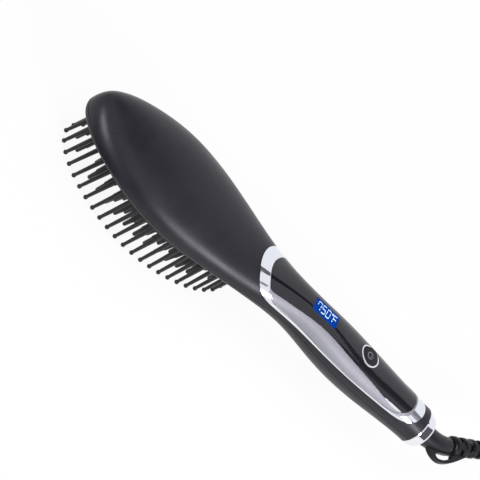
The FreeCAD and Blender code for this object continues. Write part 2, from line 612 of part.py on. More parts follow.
def make_tail_ring():
    """Chrome end ring with a rounded outer edge."""
    length = RING_END - TAIL
    profile = [
        (0.1, JOURNAL_R + 3.0), (0.1, RING_R), (1.0, RING_R + 0.1), (length - 2.0, RING_END_R + 0.6),
        (length - 0.8, RING_END_R), (length, RING_END_R - 1.2), (length, BOOT_R + 0.3),
        (3.0, BOOT_R + 0.3), (3.0, JOURNAL_R + 3.0),
    ]
    return revolved(profile, at(TAIL, 0, SWIVEL_Z), Vector(1, 0, 0))


def make_swivel_socket():
    """Fixed bearing in the handle's tail, with two windows for the contact brushes."""
    start, end = SOCKET_START, TAIL + 2.9
    profile = [
        (0, SOCKET_R - 0.05), (TAIL - start, SOCKET_R - 0.05), (TAIL - start, JOURNAL_R + 2.9),
        (end - start, JOURNAL_R + 2.9), (end - start, JOURNAL_R + JOURNAL_GAP),
        (SOCKET_FLOOR, JOURNAL_R + JOURNAL_GAP), (SOCKET_FLOOR, 0.0), (0, 0.0),
    ]
    socket = revolved(profile, at(start, 0, SWIVEL_Z), Vector(1, 0, 0))
    windows = [block(BRUSH_LENGTH, BRUSH_WIDTH, SOCKET_R + 1, at(x), SWIVEL_Z) for x in CONTACT_STATIONS]
    return socket.cut(windows)


def make_spindle():
    """Journal that turns in the socket, with grooves for the contact rings."""
    start = SOCKET_START + SOCKET_FLOOR + 0.1
    groove_r = JOURNAL_R - CONTACT_DEPTH
    profile = [(0, 0), (0, JOURNAL_R)]
    for x in CONTACT_STATIONS:
        low, high = x - CONTACT_WIDTH / 2 - start, x + CONTACT_WIDTH / 2 - start
        profile += [(low, JOURNAL_R), (low, groove_r), (high, groove_r), (high, JOURNAL_R)]
    profile += [(RING_END - start, JOURNAL_R), (RING_END - start, 0)]
    return revolved(profile, at(start, 0, SWIVEL_Z), Vector(1, 0, 0))


def make_contacts():
    """Rings on the spindle and the fixed brushes that rub on them."""
    rings, brushes = [], []
    for x in CONTACT_STATIONS:
        low, high = at(x - CONTACT_WIDTH / 2, 0, SWIVEL_Z), at(x + CONTACT_WIDTH / 2, 0, SWIVEL_Z)
        rings.append(tube(JOURNAL_R, JOURNAL_R - CONTACT_DEPTH, low, high))
        height = SOCKET_R - JOURNAL_R - 0.9
        brushes.append(block(BRUSH_LENGTH, BRUSH_WIDTH, height, at(x), SWIVEL_Z + JOURNAL_R + 0.1))
    return Part.makeCompound(rings), Part.makeCompound(brushes)


def boot_point(angle, offset):
    """A point beside the boot's bent centre line: angle in degrees, offset towards the inside of the bend."""
    turn = math.radians(angle)
    reach = BOOT_BEND_R - offset
    return at(RING_END + reach * math.sin(turn), BOOT_BEND_R - reach * math.cos(turn), SWIVEL_Z)


def boot_direction(angle=BOOT_TURN):
    """Unit direction of the boot's centre line."""
    return Vector(math.cos(math.radians(angle)), math.sin(math.radians(angle)), 0)


def make_boot():
    """Soft boot that leaves the ring and bends to one side as it narrows."""
    circles = []
    for k in range(BOOT_SECTIONS + 1):
        share = k / BOOT_SECTIONS
        radius = BOOT_R + (BOOT_END_R - BOOT_R) * share
        circle = Part.makeCircle(radius, boot_point(BOOT_TURN * share, 0), boot_direction(BOOT_TURN * share))
        circles.append(Part.Wire(circle))
    neck = rod(BOOT_R, at(TAIL + 3.3, 0, SWIVEL_Z), at(RING_END, 0, SWIVEL_Z))
    hole = rod(JOURNAL_R + JOURNAL_GAP, at(TAIL, 0, SWIVEL_Z), at(RING_END, 0, SWIVEL_Z))
    return Part.makeLoft(circles, True, False).fuse(neck.cut(hole))


def make_strain_relief():
    """Row of ribs on a soft core, joined by slanted webs."""
    direction = boot_direction()
    start = boot_point(BOOT_TURN, 0)
    profile = [(0, 0), (0, RIB_CORE_R)]
    for k in range(RIB_COUNT):
        radius = RIB_R + (RIB_END_R - RIB_R) * k / (RIB_COUNT - 1)
        low = k * RIB_PITCH + RIB_PITCH - RIB_LENGTH
        high = low + RIB_LENGTH
        shoulder = RIB_SHOULDER * RIB_EDGE
        profile += [(low, RIB_CORE_R), (low, radius - RIB_EDGE), (low + shoulder, radius - shoulder)]
        profile += [(low + RIB_EDGE, radius), (high - RIB_EDGE, radius)]
        profile += [(high - shoulder, radius - shoulder), (high, radius - RIB_EDGE), (high, RIB_CORE_R)]
    profile[-1] = (RIB_COUNT * RIB_PITCH, CORD_R + 0.6)
    profile.append((RIB_COUNT * RIB_PITCH, 0))
    relief = revolved(profile, start, direction)
    webs = []
    for k in range(1, RIB_COUNT):
        radius = RIB_R + (RIB_END_R - RIB_R) * k / (RIB_COUNT - 1)
        for quarter in range(4):
            corner = Vector(radius - WEB_SINK - WEB_DEPTH, -WEB_WIDTH / 2, -WEB_LENGTH / 2)
            web = Part.makeBox(WEB_DEPTH, WEB_WIDTH, WEB_LENGTH, corner)
            web.rotate(Vector(radius, 0, 0), Vector(1, 0, 0), WEB_TILT if k % 2 else -WEB_TILT)
            web.rotate(Vector(0, 0, 0), Vector(0, 0, 1), 90 * quarter + 45 * (k % 2))
            gap_middle = k * RIB_PITCH + (RIB_PITCH - RIB_LENGTH) / 2
            web.Placement = FreeCAD.Placement(
                start + direction * gap_middle, FreeCAD.Rotation(Vector(0, 0, 1), direction)
            ).multiply(web.Placement)
            webs.append(web)
    return relief.fuse(webs)


def make_hang_loop(boot, relief):
    """Flat loop beside the boot, from its neck to the second rib."""
    direction = boot_direction()
    side = Vector(direction.y, -direction.x, 0)
    boot_end = boot_point(BOOT_TURN, 0)
    outside = [boot_point(angle, offset) for angle, offset in LOOP_OUTSIDE]
    outside += [boot_end + direction * along + side * across for along, across in LOOP_SHANK]
    hole = [boot_point(angle, offset) for angle, offset in LOOP_HOLE]
    outer = Part.BSplineCurve()
    outer.interpolate(outside)
    inner_corners = [outside[-1], boot_end, boot_point(14, 0), boot_point(7, 0), outside[0]]
    edges = [outer.toShape()]
    edges += [Part.makeLine(start, end) for start, end in zip(inner_corners, inner_corners[1:])]
    inner = Part.BSplineCurve()
    inner.interpolate(hole, PeriodicFlag=True)
    height = Vector(0, 0, LOOP_THICK)
    plate = Part.Face(Part.Wire(edges)).extrude(height).translated(height * -0.5)
    hole_prism = Part.Face(Part.Wire(inner.toShape())).extrude(height * 2).translated(height * -1)
    return plate.cut([hole_prism, boot, relief, rod(RIB_R, boot_end, boot_end + direction * 8)])


# ---- cord, hank and plug --------------------------------------------------------------------------

def make_hank(cord):
    """Outer shape of the folded and tied cord, with grooves where the cord's free stretches join it."""
    waist = HANK_WAIST / 2
    hollow_r = (FOLD_AT ** 2 + waist ** 2 - FOLD_R ** 2) / (2 * (FOLD_R - waist))
    share = FOLD_R / (FOLD_R + hollow_r)
    meet_x, meet_y = FOLD_AT * (1 - share), (waist + hollow_r) * share
    quarters = [(1, 1), (1, -1), (-1, -1), (-1, 1)]
    meets = [at(HANK_AT + x * meet_x, HANK_Y + y * meet_y) for x, y in quarters]
    ends = [at(HANK_AT + side * (FOLD_AT + FOLD_R), HANK_Y) for side in (1, -1)]
    waists = [at(HANK_AT, HANK_Y + side * waist) for side in (-1, 1)]
    arcs = [
        Part.Arc(meets[0], ends[0], meets[1]), Part.Arc(meets[1], waists[0], meets[2]),
        Part.Arc(meets[2], ends[1], meets[3]), Part.Arc(meets[3], waists[1], meets[0]),
    ]
    outline = Part.Wire([arc.toShape() for arc in arcs])
    return Part.Face(outline).extrude(Vector(0, 0, HANK_HEIGHT)).cut(cord)


def make_hank_tie():
    """Strap over the hank's waist and down both its sides."""
    middle = at(HANK_AT, HANK_Y)
    inside = HANK_WAIST + 2 * TIE_GAP
    bar = block(TIE_LENGTH, inside + 2 * TIE_THICK, HANK_HEIGHT + TIE_THICK, middle, 0)
    top_edges = [
        e for e in bar.Edges if abs(e.tangentAt(e.FirstParameter).x) > 0.99 and e.CenterOfMass.z > HANK_HEIGHT
    ]
    bar = bar.makeFillet(TIE_ROUND, top_edges)
    return bar.cut(block(2 * TIE_LENGTH, inside, HANK_HEIGHT + 0.1, middle, 0))


def make_plug():
    """Moulded two pin plug, lying on its flat side, and its blades."""
    end = at(*TAIL_ROUTE[-1])
    before = at(*TAIL_ROUTE[-2])
    heading = end - before
    heading.z = 0
    turn = math.degrees(math.atan2(heading.y, heading.x))
    collar = cone(CORD_R + 0.6, COLLAR_R, Vector(0, 0, 0), Vector(COLLAR_LENGTH, 0, 0))
    grip_middle = Vector((COLLAR_LENGTH + PLUG_LENGTH) / 2, 0, 0)
    grip = block(PLUG_LENGTH - COLLAR_LENGTH, PLUG_WIDTH, PLUG_THICK, grip_middle, -PLUG_THICK / 2)
    grip = grip.makeFillet(PLUG_ROUND, grip.Edges)
    body_solid = grip.fuse(collar)
    pins = []
    for side in (1, -1):
        pin = Part.makeBox(PIN_LENGTH, PIN_THICK, PIN_WIDTH)
        pin.translate(Vector(PLUG_LENGTH, side * PIN_SPACING / 2 - PIN_THICK / 2, -PIN_WIDTH / 2))
        hole_x = PLUG_LENGTH + PIN_LENGTH - PIN_HOLE_INSET
        hole = rod(PIN_HOLE_R, Vector(hole_x, -PLUG_WIDTH, 0), Vector(hole_x, PLUG_WIDTH, 0))
        pins.append(pin.cut(hole))
    place = FreeCAD.Placement(end, FreeCAD.Rotation(Vector(0, 0, 1), turn))
    blades = Part.makeCompound(pins)
    for shape in (body_solid, blades):
        shape.Placement = place.multiply(shape.Placement)
    return body_solid, blades


# ---- build ----------------------------------------------------------------------------------------

OUTER = body(0.0)
INNER = body(WALL)
SHELL_SCREW_SOLIDS = [screw(x, 0, SCREW_SEAT, 38) for x in SHELL_SCREWS]
BOARD_SCREW_SOLIDS = [screw(x, 0, BOARD_Z - HEAD_H, 39) for x in BOARD_SCREWS]
PLATE_SCREW_SOLIDS = [screw(x, y, PLATE_SCREW_HEAD, 42) for x, y in PLATE_SCREWS]
ALL_SCREWS = SHELL_SCREW_SOLIDS + BOARD_SCREW_SOLIDS + PLATE_SCREW_SOLIDS


def build():
    """Every sub-part, by name."""
    teeth, tooth_tips = make_teeth()
    heater, clamps, sheet, thermal_fuse, thermistor = make_heater_parts()
    heater_wires, supply_wires = make_wires()
    triac, capacitor = make_power_parts()
    rings, brushes = make_contacts()
    boot, relief = make_boot(), make_strain_relief()
    relief_end = boot_point(BOOT_TURN, 0) + boot_direction() * (RIB_COUNT * RIB_PITCH)
    exit_point = (relief_end.x - NOSE_X, relief_end.y, relief_end.z)
    cord = Part.makeCompound([cord_tube([exit_point] + CORD_ROUTE, CORD_R), cord_tube(TAIL_ROUTE, CORD_R)])
    plug_body, plug_pins = make_plug()
    return {
        "back_shell": make_back_shell(),
        "front_shell": make_front_shell(),
        "trim_ring": make_trim_ring(),
        "control_panel": make_control_panel(),
        "display_window": make_display_window(),
        "display_module": make_display_module(),
        "button_ring": make_button_ring(),
        "power_button": make_power_button(),
        "button_spring": make_button_spring(),
        "tact_switch": make_tact_switch(),
        "circuit_board": make_circuit_board(),
        "triac": triac,
        "capacitor": capacitor,
        "bristle_base": make_bristle_base(),
        "outer_bristles": make_outer_bristles(),
        "heating_plate": make_heating_plate(),
        "heating_teeth": teeth,
        "tooth_tips": tooth_tips,
        "heater": heater,
        "heater_clamps": clamps,
        "mica_sheet": sheet,
        "thermal_fuse": thermal_fuse,
        "thermistor": thermistor,
        "heater_wires": heater_wires,
        "supply_wires": supply_wires,
        "shell_screws": Part.makeCompound(SHELL_SCREW_SOLIDS),
        "board_screws": Part.makeCompound(BOARD_SCREW_SOLIDS),
        "plate_screws": Part.makeCompound(PLATE_SCREW_SOLIDS),
        "screw_plugs": make_screw_plugs(),
        "tail_ring": make_tail_ring(),
        "swivel_socket": make_swivel_socket(),
        "swivel_spindle": make_spindle(),
        "contact_rings": rings,
        "contact_brushes": brushes,
        "swivel_boot": boot,
        "hang_loop": make_hang_loop(boot, relief),
        "strain_relief": relief,
        "power_cord": cord,
        "cord_hank": make_hank(cord),
        "hank_tie": make_hank_tie(),
        "plug_body": plug_body,
        "plug_pins": plug_pins,
    }


os.makedirs("parts", exist_ok=True)
for name, shape in build().items():
    box = shape.BoundBox
    print(
        f"{name:16} solids {len(shape.Solids):3} valid {shape.isValid()} volume {shape.Volume:9.1f} "
        f"x {box.XMin:7.1f} {box.XMax:7.1f} y {box.YMin:6.1f} {box.YMax:6.1f} "
        f"z {box.ZMin:5.1f} {box.ZMax:5.1f}"
    )
    shape.exportStep(f"parts/{name}.step")
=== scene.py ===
"""Heated straightening brush: its finishes, printed details, mains cord and studio.

Every piece is in metres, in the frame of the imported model. +X runs from the head's nose to the
handle's tail, and +Z from the bristle tips to the smooth back.
"""
import logging
import math
from dataclasses import dataclass, field
from enum import Enum

import bmesh
import bpy
from mathutils import Matrix, Vector
from mathutils.bvhtree import BVHTree


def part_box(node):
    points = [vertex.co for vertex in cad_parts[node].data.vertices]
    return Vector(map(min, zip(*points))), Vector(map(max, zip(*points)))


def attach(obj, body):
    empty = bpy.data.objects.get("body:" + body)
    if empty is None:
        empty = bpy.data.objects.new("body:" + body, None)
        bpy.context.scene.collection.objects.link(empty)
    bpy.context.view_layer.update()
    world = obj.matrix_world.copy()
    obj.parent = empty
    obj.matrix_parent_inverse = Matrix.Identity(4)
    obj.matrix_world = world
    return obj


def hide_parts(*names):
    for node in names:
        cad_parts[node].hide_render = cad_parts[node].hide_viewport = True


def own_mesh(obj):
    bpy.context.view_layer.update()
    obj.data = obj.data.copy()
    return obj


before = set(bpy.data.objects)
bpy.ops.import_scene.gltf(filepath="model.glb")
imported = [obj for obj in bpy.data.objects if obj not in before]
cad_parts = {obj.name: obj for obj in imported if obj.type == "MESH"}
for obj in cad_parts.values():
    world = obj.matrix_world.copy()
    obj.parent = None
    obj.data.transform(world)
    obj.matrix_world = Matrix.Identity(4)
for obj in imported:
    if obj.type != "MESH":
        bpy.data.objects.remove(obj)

LOG = logging.getLogger("brush")
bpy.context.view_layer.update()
MM = 0.001
# X of the nose's tip in the frame, in metres.
NOSE_X = -0.1619
# The surface under a print is found from this far above its node, in metres, looking down.
RAY_CLEARANCE = 0.01
DOWN = Vector((0, 0, -1))
# Thickness of a print in lifts, so that it reaches into its node.
PRINT_DEPTH = 4
# Control points in one turn of the hank.
TURN_STEPS = 20
# Blue of the studio's cards, against their red and green.
COOL_CAST = 1.1
# Corners of the table, in halves of its side.
CORNERS = ((-1, -1), (1, -1), (1, 1), (-1, 1))
Colour = tuple[float, float, float]
Point = tuple[float, float, float]
Range = tuple[float, float]
Outline = list[Vector]


def at(station: float, y: float = 0.0, z: float = 0.0) -> Vector:
    """Return a point in metres from its station behind the nose, Y and Z in millimetres."""
    return Vector((NOSE_X + station * MM, y * MM, z * MM))


# ---------------------------------- Finishes ----------------------------------


@dataclass(frozen=True)
class Marks:
    """Clouds, waves, lines or hairs all over a surface, drawn by noise.

    Attributes:
        scale: how many there are to a metre, across them.
        detail: octaves of finer noise.
        stretch: scale along each axis, below 1 where they are long.
        fade: the noise between which they fade in.
    """

    scale: float
    detail: float = 3.0
    stretch: Point = (1.0, 1.0, 1.0)
    fade: Range = (0.3, 0.7)


class Nodes:
    """A short way to place and join nodes."""

    def __init__(self, tree: bpy.types.NodeTree) -> None:
        """Start with an empty tree."""
        self.tree = tree
        tree.nodes.clear()

    def add(self, kind: str, values: dict[str, object] | None = None, **settings: object) -> bpy.types.Node:
        """Add one node.

        Args:
            kind: the node's Blender type.
            values: what its inputs hold, by name.
            **settings: attributes to set on it.

        Returns:
            The new node.
        """
        node = self.tree.nodes.new(kind)
        for key, value in settings.items():
            setattr(node, key, value)
        for name, value in (values or {}).items():
            node.inputs[name].default_value = value
        return node

    def join(self, output: bpy.types.NodeSocket, target: bpy.types.NodeSocket) -> None:
        """Join an output socket to an input socket."""
        self.tree.links.new(output, target)

    def spread(self, value: bpy.types.NodeSocket, low: float, high: float,
               start: float = 0.0, end: float = 1.0) -> bpy.types.NodeSocket:
        """Map a value on to a range.

        Args:
            value: the value, such as a texture's factor.
            low: what start becomes.
            high: what end becomes.
            start: the lowest value that counts.
            end: the highest value that counts.

        Returns:
            The mapped value, kept inside the range.
        """
        remap = self.add("ShaderNodeMapRange", {
            "From Min": start, "From Max": end, "To Min": low, "To Max": high,
        })
        self.join(value, remap.inputs["Value"])
        return remap.outputs["Result"]

    def sum(self, kind: str, first: bpy.types.NodeSocket,
            second: bpy.types.NodeSocket) -> bpy.types.NodeSocket:
        """Work out one step of arithmetic on two values.

        Args:
            kind: the step, such as ADD.
            first: the first value.
            second: the second value.

        Returns:
            The result.
        """
        node = self.add("ShaderNodeMath", operation=kind)
        self.join(first, node.inputs[0])
        self.join(second, node.inputs[1])
        return node.outputs[0]

    def mix(self, factor: bpy.types.NodeSocket, first: Colour | bpy.types.NodeSocket,
            second: Colour) -> bpy.types.NodeSocket:
        """Mix two colours.

        Args:
            factor: 0 for the first colour, 1 for the second.
            first: a colour, or another mix.
            second: a colour.

        Returns:
            The mixed colour.
        """
        node = self.add("ShaderNodeMix", data_type="RGBA")
        self.join(factor, node.inputs["Factor"])
        if isinstance(first, tuple):
            node.inputs["A"].default_value = (*first, 1.0)
        else:
            self.join(first, node.inputs["A"])
        node.inputs["B"].default_value = (*second, 1.0)
        return node.outputs["Result"]

    def seen(self, path: bpy.types.Node) -> bpy.types.NodeSocket:
        """Pick out the rays that see, mirror or look through from those that light.

        Args:
            path: the light path node.

        Returns:
            1 for such a ray, and 0 for one that lights.
        """
        value = path.outputs["Is Camera Ray"]
        for name in ("Is Glossy Ray", "Is Transmission Ray"):
            value = self.sum("MAXIMUM", value, path.outputs[name])
        return value


class NodeSheet(Nodes):
    """The nodes of one material: a principled shader, and what feeds it."""

    def __init__(self, name: str, values: dict[str, object] | None = None) -> None:
        """Start a material.

        Args:
            name: the material's name.
            values: what the shader's own inputs hold, by name.
        """
        self.material = bpy.data.materials.new(name)
        self.material.use_nodes = True
        super().__init__(self.material.node_tree)
        self.output = self.add("ShaderNodeOutputMaterial")
        self.shader = self.add("ShaderNodeBsdfPrincipled", values)
        self.join(self.shader.outputs["BSDF"], self.output.inputs["Surface"])
        self.coordinates = self.add("ShaderNodeTexCoord").outputs["Object"]

    def noise(self, marks: Marks) -> bpy.types.NodeSocket:
        """Add a noise texture over the object.

        Args:
            marks: what it draws.

        Returns:
            The texture's factor.
        """
        mapping = self.add("ShaderNodeMapping", {"Scale": marks.stretch})
        self.join(self.coordinates, mapping.inputs["Vector"])
        texture = self.add("ShaderNodeTexNoise", {"Scale": marks.scale, "Detail": marks.detail})
        self.join(mapping.outputs["Vector"], texture.inputs["Vector"])
        return texture.outputs["Fac"]

    def marks(self, marks: Marks, most: float = 1.0) -> bpy.types.NodeSocket:
        """Return marks that rise from 0 to the most that shows of them."""
        return self.spread(self.noise(marks), 0.0, most, *marks.fade)

    def bump(self, height: bpy.types.NodeSocket, distance: float) -> None:
        """Raise the surface by a height texture, over what is raised already.

        Args:
            height: the texture, from 0 to 1.
            distance: the height of 1 in metres.
        """
        node = self.add("ShaderNodeBump", {"Distance": distance})
        self.join(height, node.inputs["Height"])
        before = self.shader.inputs["Normal"].links
        if before:
            self.join(before[0].from_socket, node.inputs["Normal"])
        self.feed("Normal", node.outputs["Normal"])

    def feed(self, name: str, value: bpy.types.NodeSocket) -> None:
        """Join a value to an input of the shader."""
        self.join(value, self.shader.inputs[name])

    def source(self, name: str) -> bpy.types.NodeSocket:
        """Return what feeds an input of the shader."""
        return self.shader.inputs[name].links[0].from_socket


@dataclass(frozen=True)
class Finish:
    """A moulded or metal surface with the slight unevenness that real ones have.

    Attributes:
        name: the material's name.
        colour: base colour, linear.
        roughness: mean roughness.
        metallic: 1 for bare metal.
        specular: specular level of the shader.
        ior: index of refraction of the surface.
        coat: clear coat weight.
        sheen: weight of a soft, dusty sheen.
        shade: how far the colour wanders, as a share of itself.
        wander: how far the roughness wanders either way.
        cloud: size of those clouds, per metre.
        grain: depth of the surface texture in metres, or 0.
        grain_scale: features of the texture per metre.
        coat_roughness: roughness of the clear coat.
        sheen_roughness: roughness of the sheen.
    """

    name: str
    colour: Colour
    roughness: float
    metallic: float = 0.0
    specular: float = 0.5
    ior: float = 1.5
    coat: float = 0.0
    sheen: float = 0.0
    shade: float = 0.1
    wander: float = 0.04
    cloud: float = 60.0
    grain: float = 0.0
    grain_scale: float = 4000.0
    coat_roughness: float = 0.03
    sheen_roughness: float = 0.35

    def sheet(self) -> NodeSheet:
        """Build the nodes that every finish shares.

        Returns:
            The nodes, for a finish to add its own.
        """
        sheet = NodeSheet(self.name, {
            "Metallic": self.metallic, "Specular IOR Level": self.specular, "IOR": self.ior,
            "Coat Weight": self.coat, "Coat Roughness": self.coat_roughness,
            "Sheen Weight": self.sheen, "Sheen Roughness": self.sheen_roughness,
        })
        clouds = Marks(self.cloud)
        cloud = sheet.noise(clouds)
        dark = tuple(c * (1 - self.shade) for c in self.colour)
        light = tuple(min(c * (1 + self.shade), 1.0) for c in self.colour)
        sheet.feed("Base Color", sheet.mix(sheet.spread(cloud, 0.0, 1.0, *clouds.fade), dark, light))
        low, high = max(self.roughness - self.wander, 0.0), self.roughness + self.wander
        sheet.feed("Roughness", sheet.spread(cloud, low, high, *clouds.fade))
        if self.grain:
            sheet.bump(sheet.noise(Marks(self.grain_scale, 2.0)), self.grain)
        return sheet

    def work(self, sheet: NodeSheet) -> None:
        """Add what only one kind of finish has. A plain finish has nothing more."""

    def material(self) -> bpy.types.Material:
        """Build the material.

        Returns:
            The material.
        """
        sheet = self.sheet()
        self.work(sheet)
        return sheet.material


@dataclass(frozen=True)
class SoftTouch(Finish):
    """Soft touch lacquer: a fine grain with faint rubbed patches and hair scuffs from handling.

    Attributes:
        rubbed: colour of the rubbed patches.
        rubbed_share: how much of it shows at most.
        patches: how the patches lie.
        scuff: colour of the scuffs.
        scuff_share: how much of it shows at most.
        hairs: how the scuffs lie.
    """

    rubbed: Colour = (0.03, 0.03, 0.034)
    rubbed_share: float = 0.35
    patches: Marks = Marks(22.0, 5.0, fade=(0.52, 0.78))
    scuff: Colour = (0.05, 0.05, 0.056)
    scuff_share: float = 0.3
    hairs: Marks = Marks(900.0, 1.0, (0.04, 1.0, 1.0), (0.74, 0.8))

    def work(self, sheet: NodeSheet) -> None:
        """Rub and scuff the lacquer.

        Args:
            sheet: the material's nodes.
        """
        patches = sheet.marks(self.patches, self.rubbed_share)
        rubbed = sheet.mix(patches, sheet.source("Base Color"), self.rubbed)
        scuffs = sheet.marks(self.hairs, self.scuff_share)
        sheet.feed("Base Color", sheet.mix(scuffs, rubbed, self.scuff))


@dataclass(frozen=True)
class PolishedMoulding(Finish):
    """Gloss moulding with long, shallow flow waves under the polish and hair marks on it.

    Attributes:
        waves: how the waves lie.
        wave_height: their height in metres.
        hairs: how the hair marks lie.
        hair_roughness: how much roughness a hair mark adds.
    """

    waves: Marks = Marks(85.0, 1.0, (0.4, 1.0, 1.0))
    wave_height: float = 0.00004
    hairs: Marks = Marks(700.0, 2.0, (0.06, 1.0, 1.0), (0.66, 0.8))
    hair_roughness: float = 0.12

    def work(self, sheet: NodeSheet) -> None:
        """Add the waves and the hair marks.

        Args:
            sheet: the material's nodes.
        """
        sheet.bump(sheet.noise(self.waves), self.wave_height)
        marks = sheet.marks(self.hairs, self.hair_roughness)
        sheet.feed("Roughness", sheet.sum("ADD", sheet.source("Roughness"), marks))


@dataclass(frozen=True)
class DrawnMetal(Finish):
    """Metal with fine drawing lines along one axis.

    Attributes:
        lines: how the lines lie.
        line_depth: their depth in metres.
    """

    lines: Marks = Marks(2500.0, 2.0, (0.02, 1.0, 1.0))
    line_depth: float = 0.000004

    def work(self, sheet: NodeSheet) -> None:
        """Draw the lines."""
        sheet.bump(sheet.noise(self.lines), self.line_depth)


@dataclass(frozen=True)
class BeadedChrome(Finish):
    """Bright plating: a satin side facet inside a bright bead, with a painted shade line between them.

    Attributes:
        facet: the facet's colour.
        facet_metal: how metallic the facet is.
        facet_roughness: the facet's roughness.
        line: the colour of the painted shade line in the crease at the facet's edge.
        crease_shade_share: how much of that colour shows at most.
        edge: the facet's lower edge, as station and Z in millimetres.
        softness: width of the change from bead to facet in millimetres.
        crease_shade_rise: where in that change the line fades in.
        crease_shade_fall: where it fades out.
        satin: where the plating turns satin.
        tinted: where it takes the facet's colour.
        polish: how the polishing marks lie.
        polish_depth: their depth in metres.
    """

    facet: Colour = (0.21, 0.21, 0.234)
    facet_metal: float = 0.12
    facet_roughness: float = 0.4
    line: Colour = (0.05, 0.05, 0.06)
    crease_shade_share: float = 0.8
    edge: tuple[tuple[float, float], ...] = (
        (143.5, 44.0), (145.5, 39.8), (150, 37.5), (156, 35.8), (168, 35.2), (203, 35.4), (243, 36.2),
        (257, 37.1), (264.5, 39.8), (267, 44.0),
    )
    softness: float = 0.45
    crease_shade_rise: Range = (0.02, 0.4)
    crease_shade_fall: Range = (0.6, 0.98)
    satin: Range = (0.3, 0.9)
    tinted: Range = (0.5, 1.0)
    polish: Marks = Marks(1800.0, 2.0, (0.03, 1.0, 1.0))
    polish_depth: float = 0.000002

    def inside(self, sheet: NodeSheet) -> bpy.types.NodeSocket:
        """Build the mask that is 1 on the facet and 0 on the bead.

        Args:
            sheet: the material's nodes.

        Returns:
            The mask.
        """
        split = sheet.add("ShaderNodeSeparateXYZ")
        sheet.join(sheet.coordinates, split.inputs["Vector"])
        first, last = self.edge[0][0], self.edge[-1][0]
        low, high = min(z for _, z in self.edge), max(z for _, z in self.edge)
        along = sheet.spread(split.outputs["X"], 0.0, 1.0, at(first).x, at(last).x)
        curve = sheet.add("ShaderNodeFloatCurve")
        points = curve.mapping.curves[0].points
        places = [((x - first) / (last - first), (z - low) / (high - low)) for x, z in self.edge]
        points[0].location, points[1].location = places[0], places[-1]
        for place in places[1:-1]:
            points.new(*place)
        curve.mapping.update()
        sheet.join(along, curve.inputs["Value"])
        edge_z = sheet.spread(curve.outputs["Value"], low * MM, high * MM)
        over = sheet.sum("SUBTRACT", split.outputs["Z"], edge_z)
        return sheet.spread(over, 0.0, 1.0, 0.0, self.softness * MM)

    def work(self, sheet: NodeSheet) -> None:
        """Add the facet, the painted shade line at its edge and the polishing marks.

        Args:
            sheet: the material's nodes.
        """
        inside = self.inside(sheet)
        tinted = sheet.spread(inside, 0.0, 1.0, *self.tinted)
        colour = sheet.mix(tinted, sheet.source("Base Color"), self.facet)
        # Painted shade: a dark line in the crease between bead and facet, mixed into the base colour.
        shade_rising = sheet.spread(inside, 0.0, self.crease_shade_share, *self.crease_shade_rise)
        shade_falling = sheet.spread(inside, 1.0, 0.0, *self.crease_shade_fall)
        sheet.feed("Base Color", sheet.mix(sheet.sum("MULTIPLY", shade_rising, shade_falling), colour, self.line))
        sheet.feed("Metallic", sheet.spread(inside, 1.0, self.facet_metal, *self.satin))
        added = sheet.spread(inside, 0.0, self.facet_roughness, *self.satin)
        sheet.feed("Roughness", sheet.sum("ADD", sheet.source("Roughness"), added))
        sheet.bump(sheet.noise(self.polish), self.polish_depth)


@dataclass(frozen=True)
class Glow(Finish):
    """A surface that gives its own light as well, evenly but for faint clouds.

    Attributes:
        light: its light where it is brightest.
        dim: its light where it is dimmest.
        strength: how strong the light is.
        clouds: how the clouds lie.
    """

    light: Colour = (1.0, 1.0, 1.0)
    dim: Colour = (0.7, 0.7, 0.7)
    strength: float = 1.0
    clouds: Marks = Marks(180.0, 2.0)

    def work(self, sheet: NodeSheet) -> None:
        """Add the light.

        Args:
            sheet: the material's nodes.
        """
        sheet.feed("Emission Color", sheet.mix(sheet.marks(self.clouds), self.light, self.dim))
        sheet.shader.inputs["Emission Strength"].default_value = self.strength


@dataclass(frozen=True)
class Webbing(Finish):
    """Woven strap: warp and weft ribs crossing.

    Attributes:
        pitch: the distance between ribs in metres.
        rib_depth: their depth in metres.
    """

    pitch: float = 0.0009
    rib_depth: float = 0.0002

    def work(self, sheet: NodeSheet) -> None:
        """Raise the ribs.

        Args:
            sheet: the material's nodes.
        """
        for axis in ("X", "Y"):
            wave = sheet.add("ShaderNodeTexWave", {"Scale": 1.0 / (self.pitch * math.tau)},
                             bands_direction=axis)
            sheet.join(sheet.coordinates, wave.inputs["Vector"])
            sheet.bump(wave.outputs["Fac"], self.rib_depth)


BUILT: dict[str, bpy.types.Material] = {}


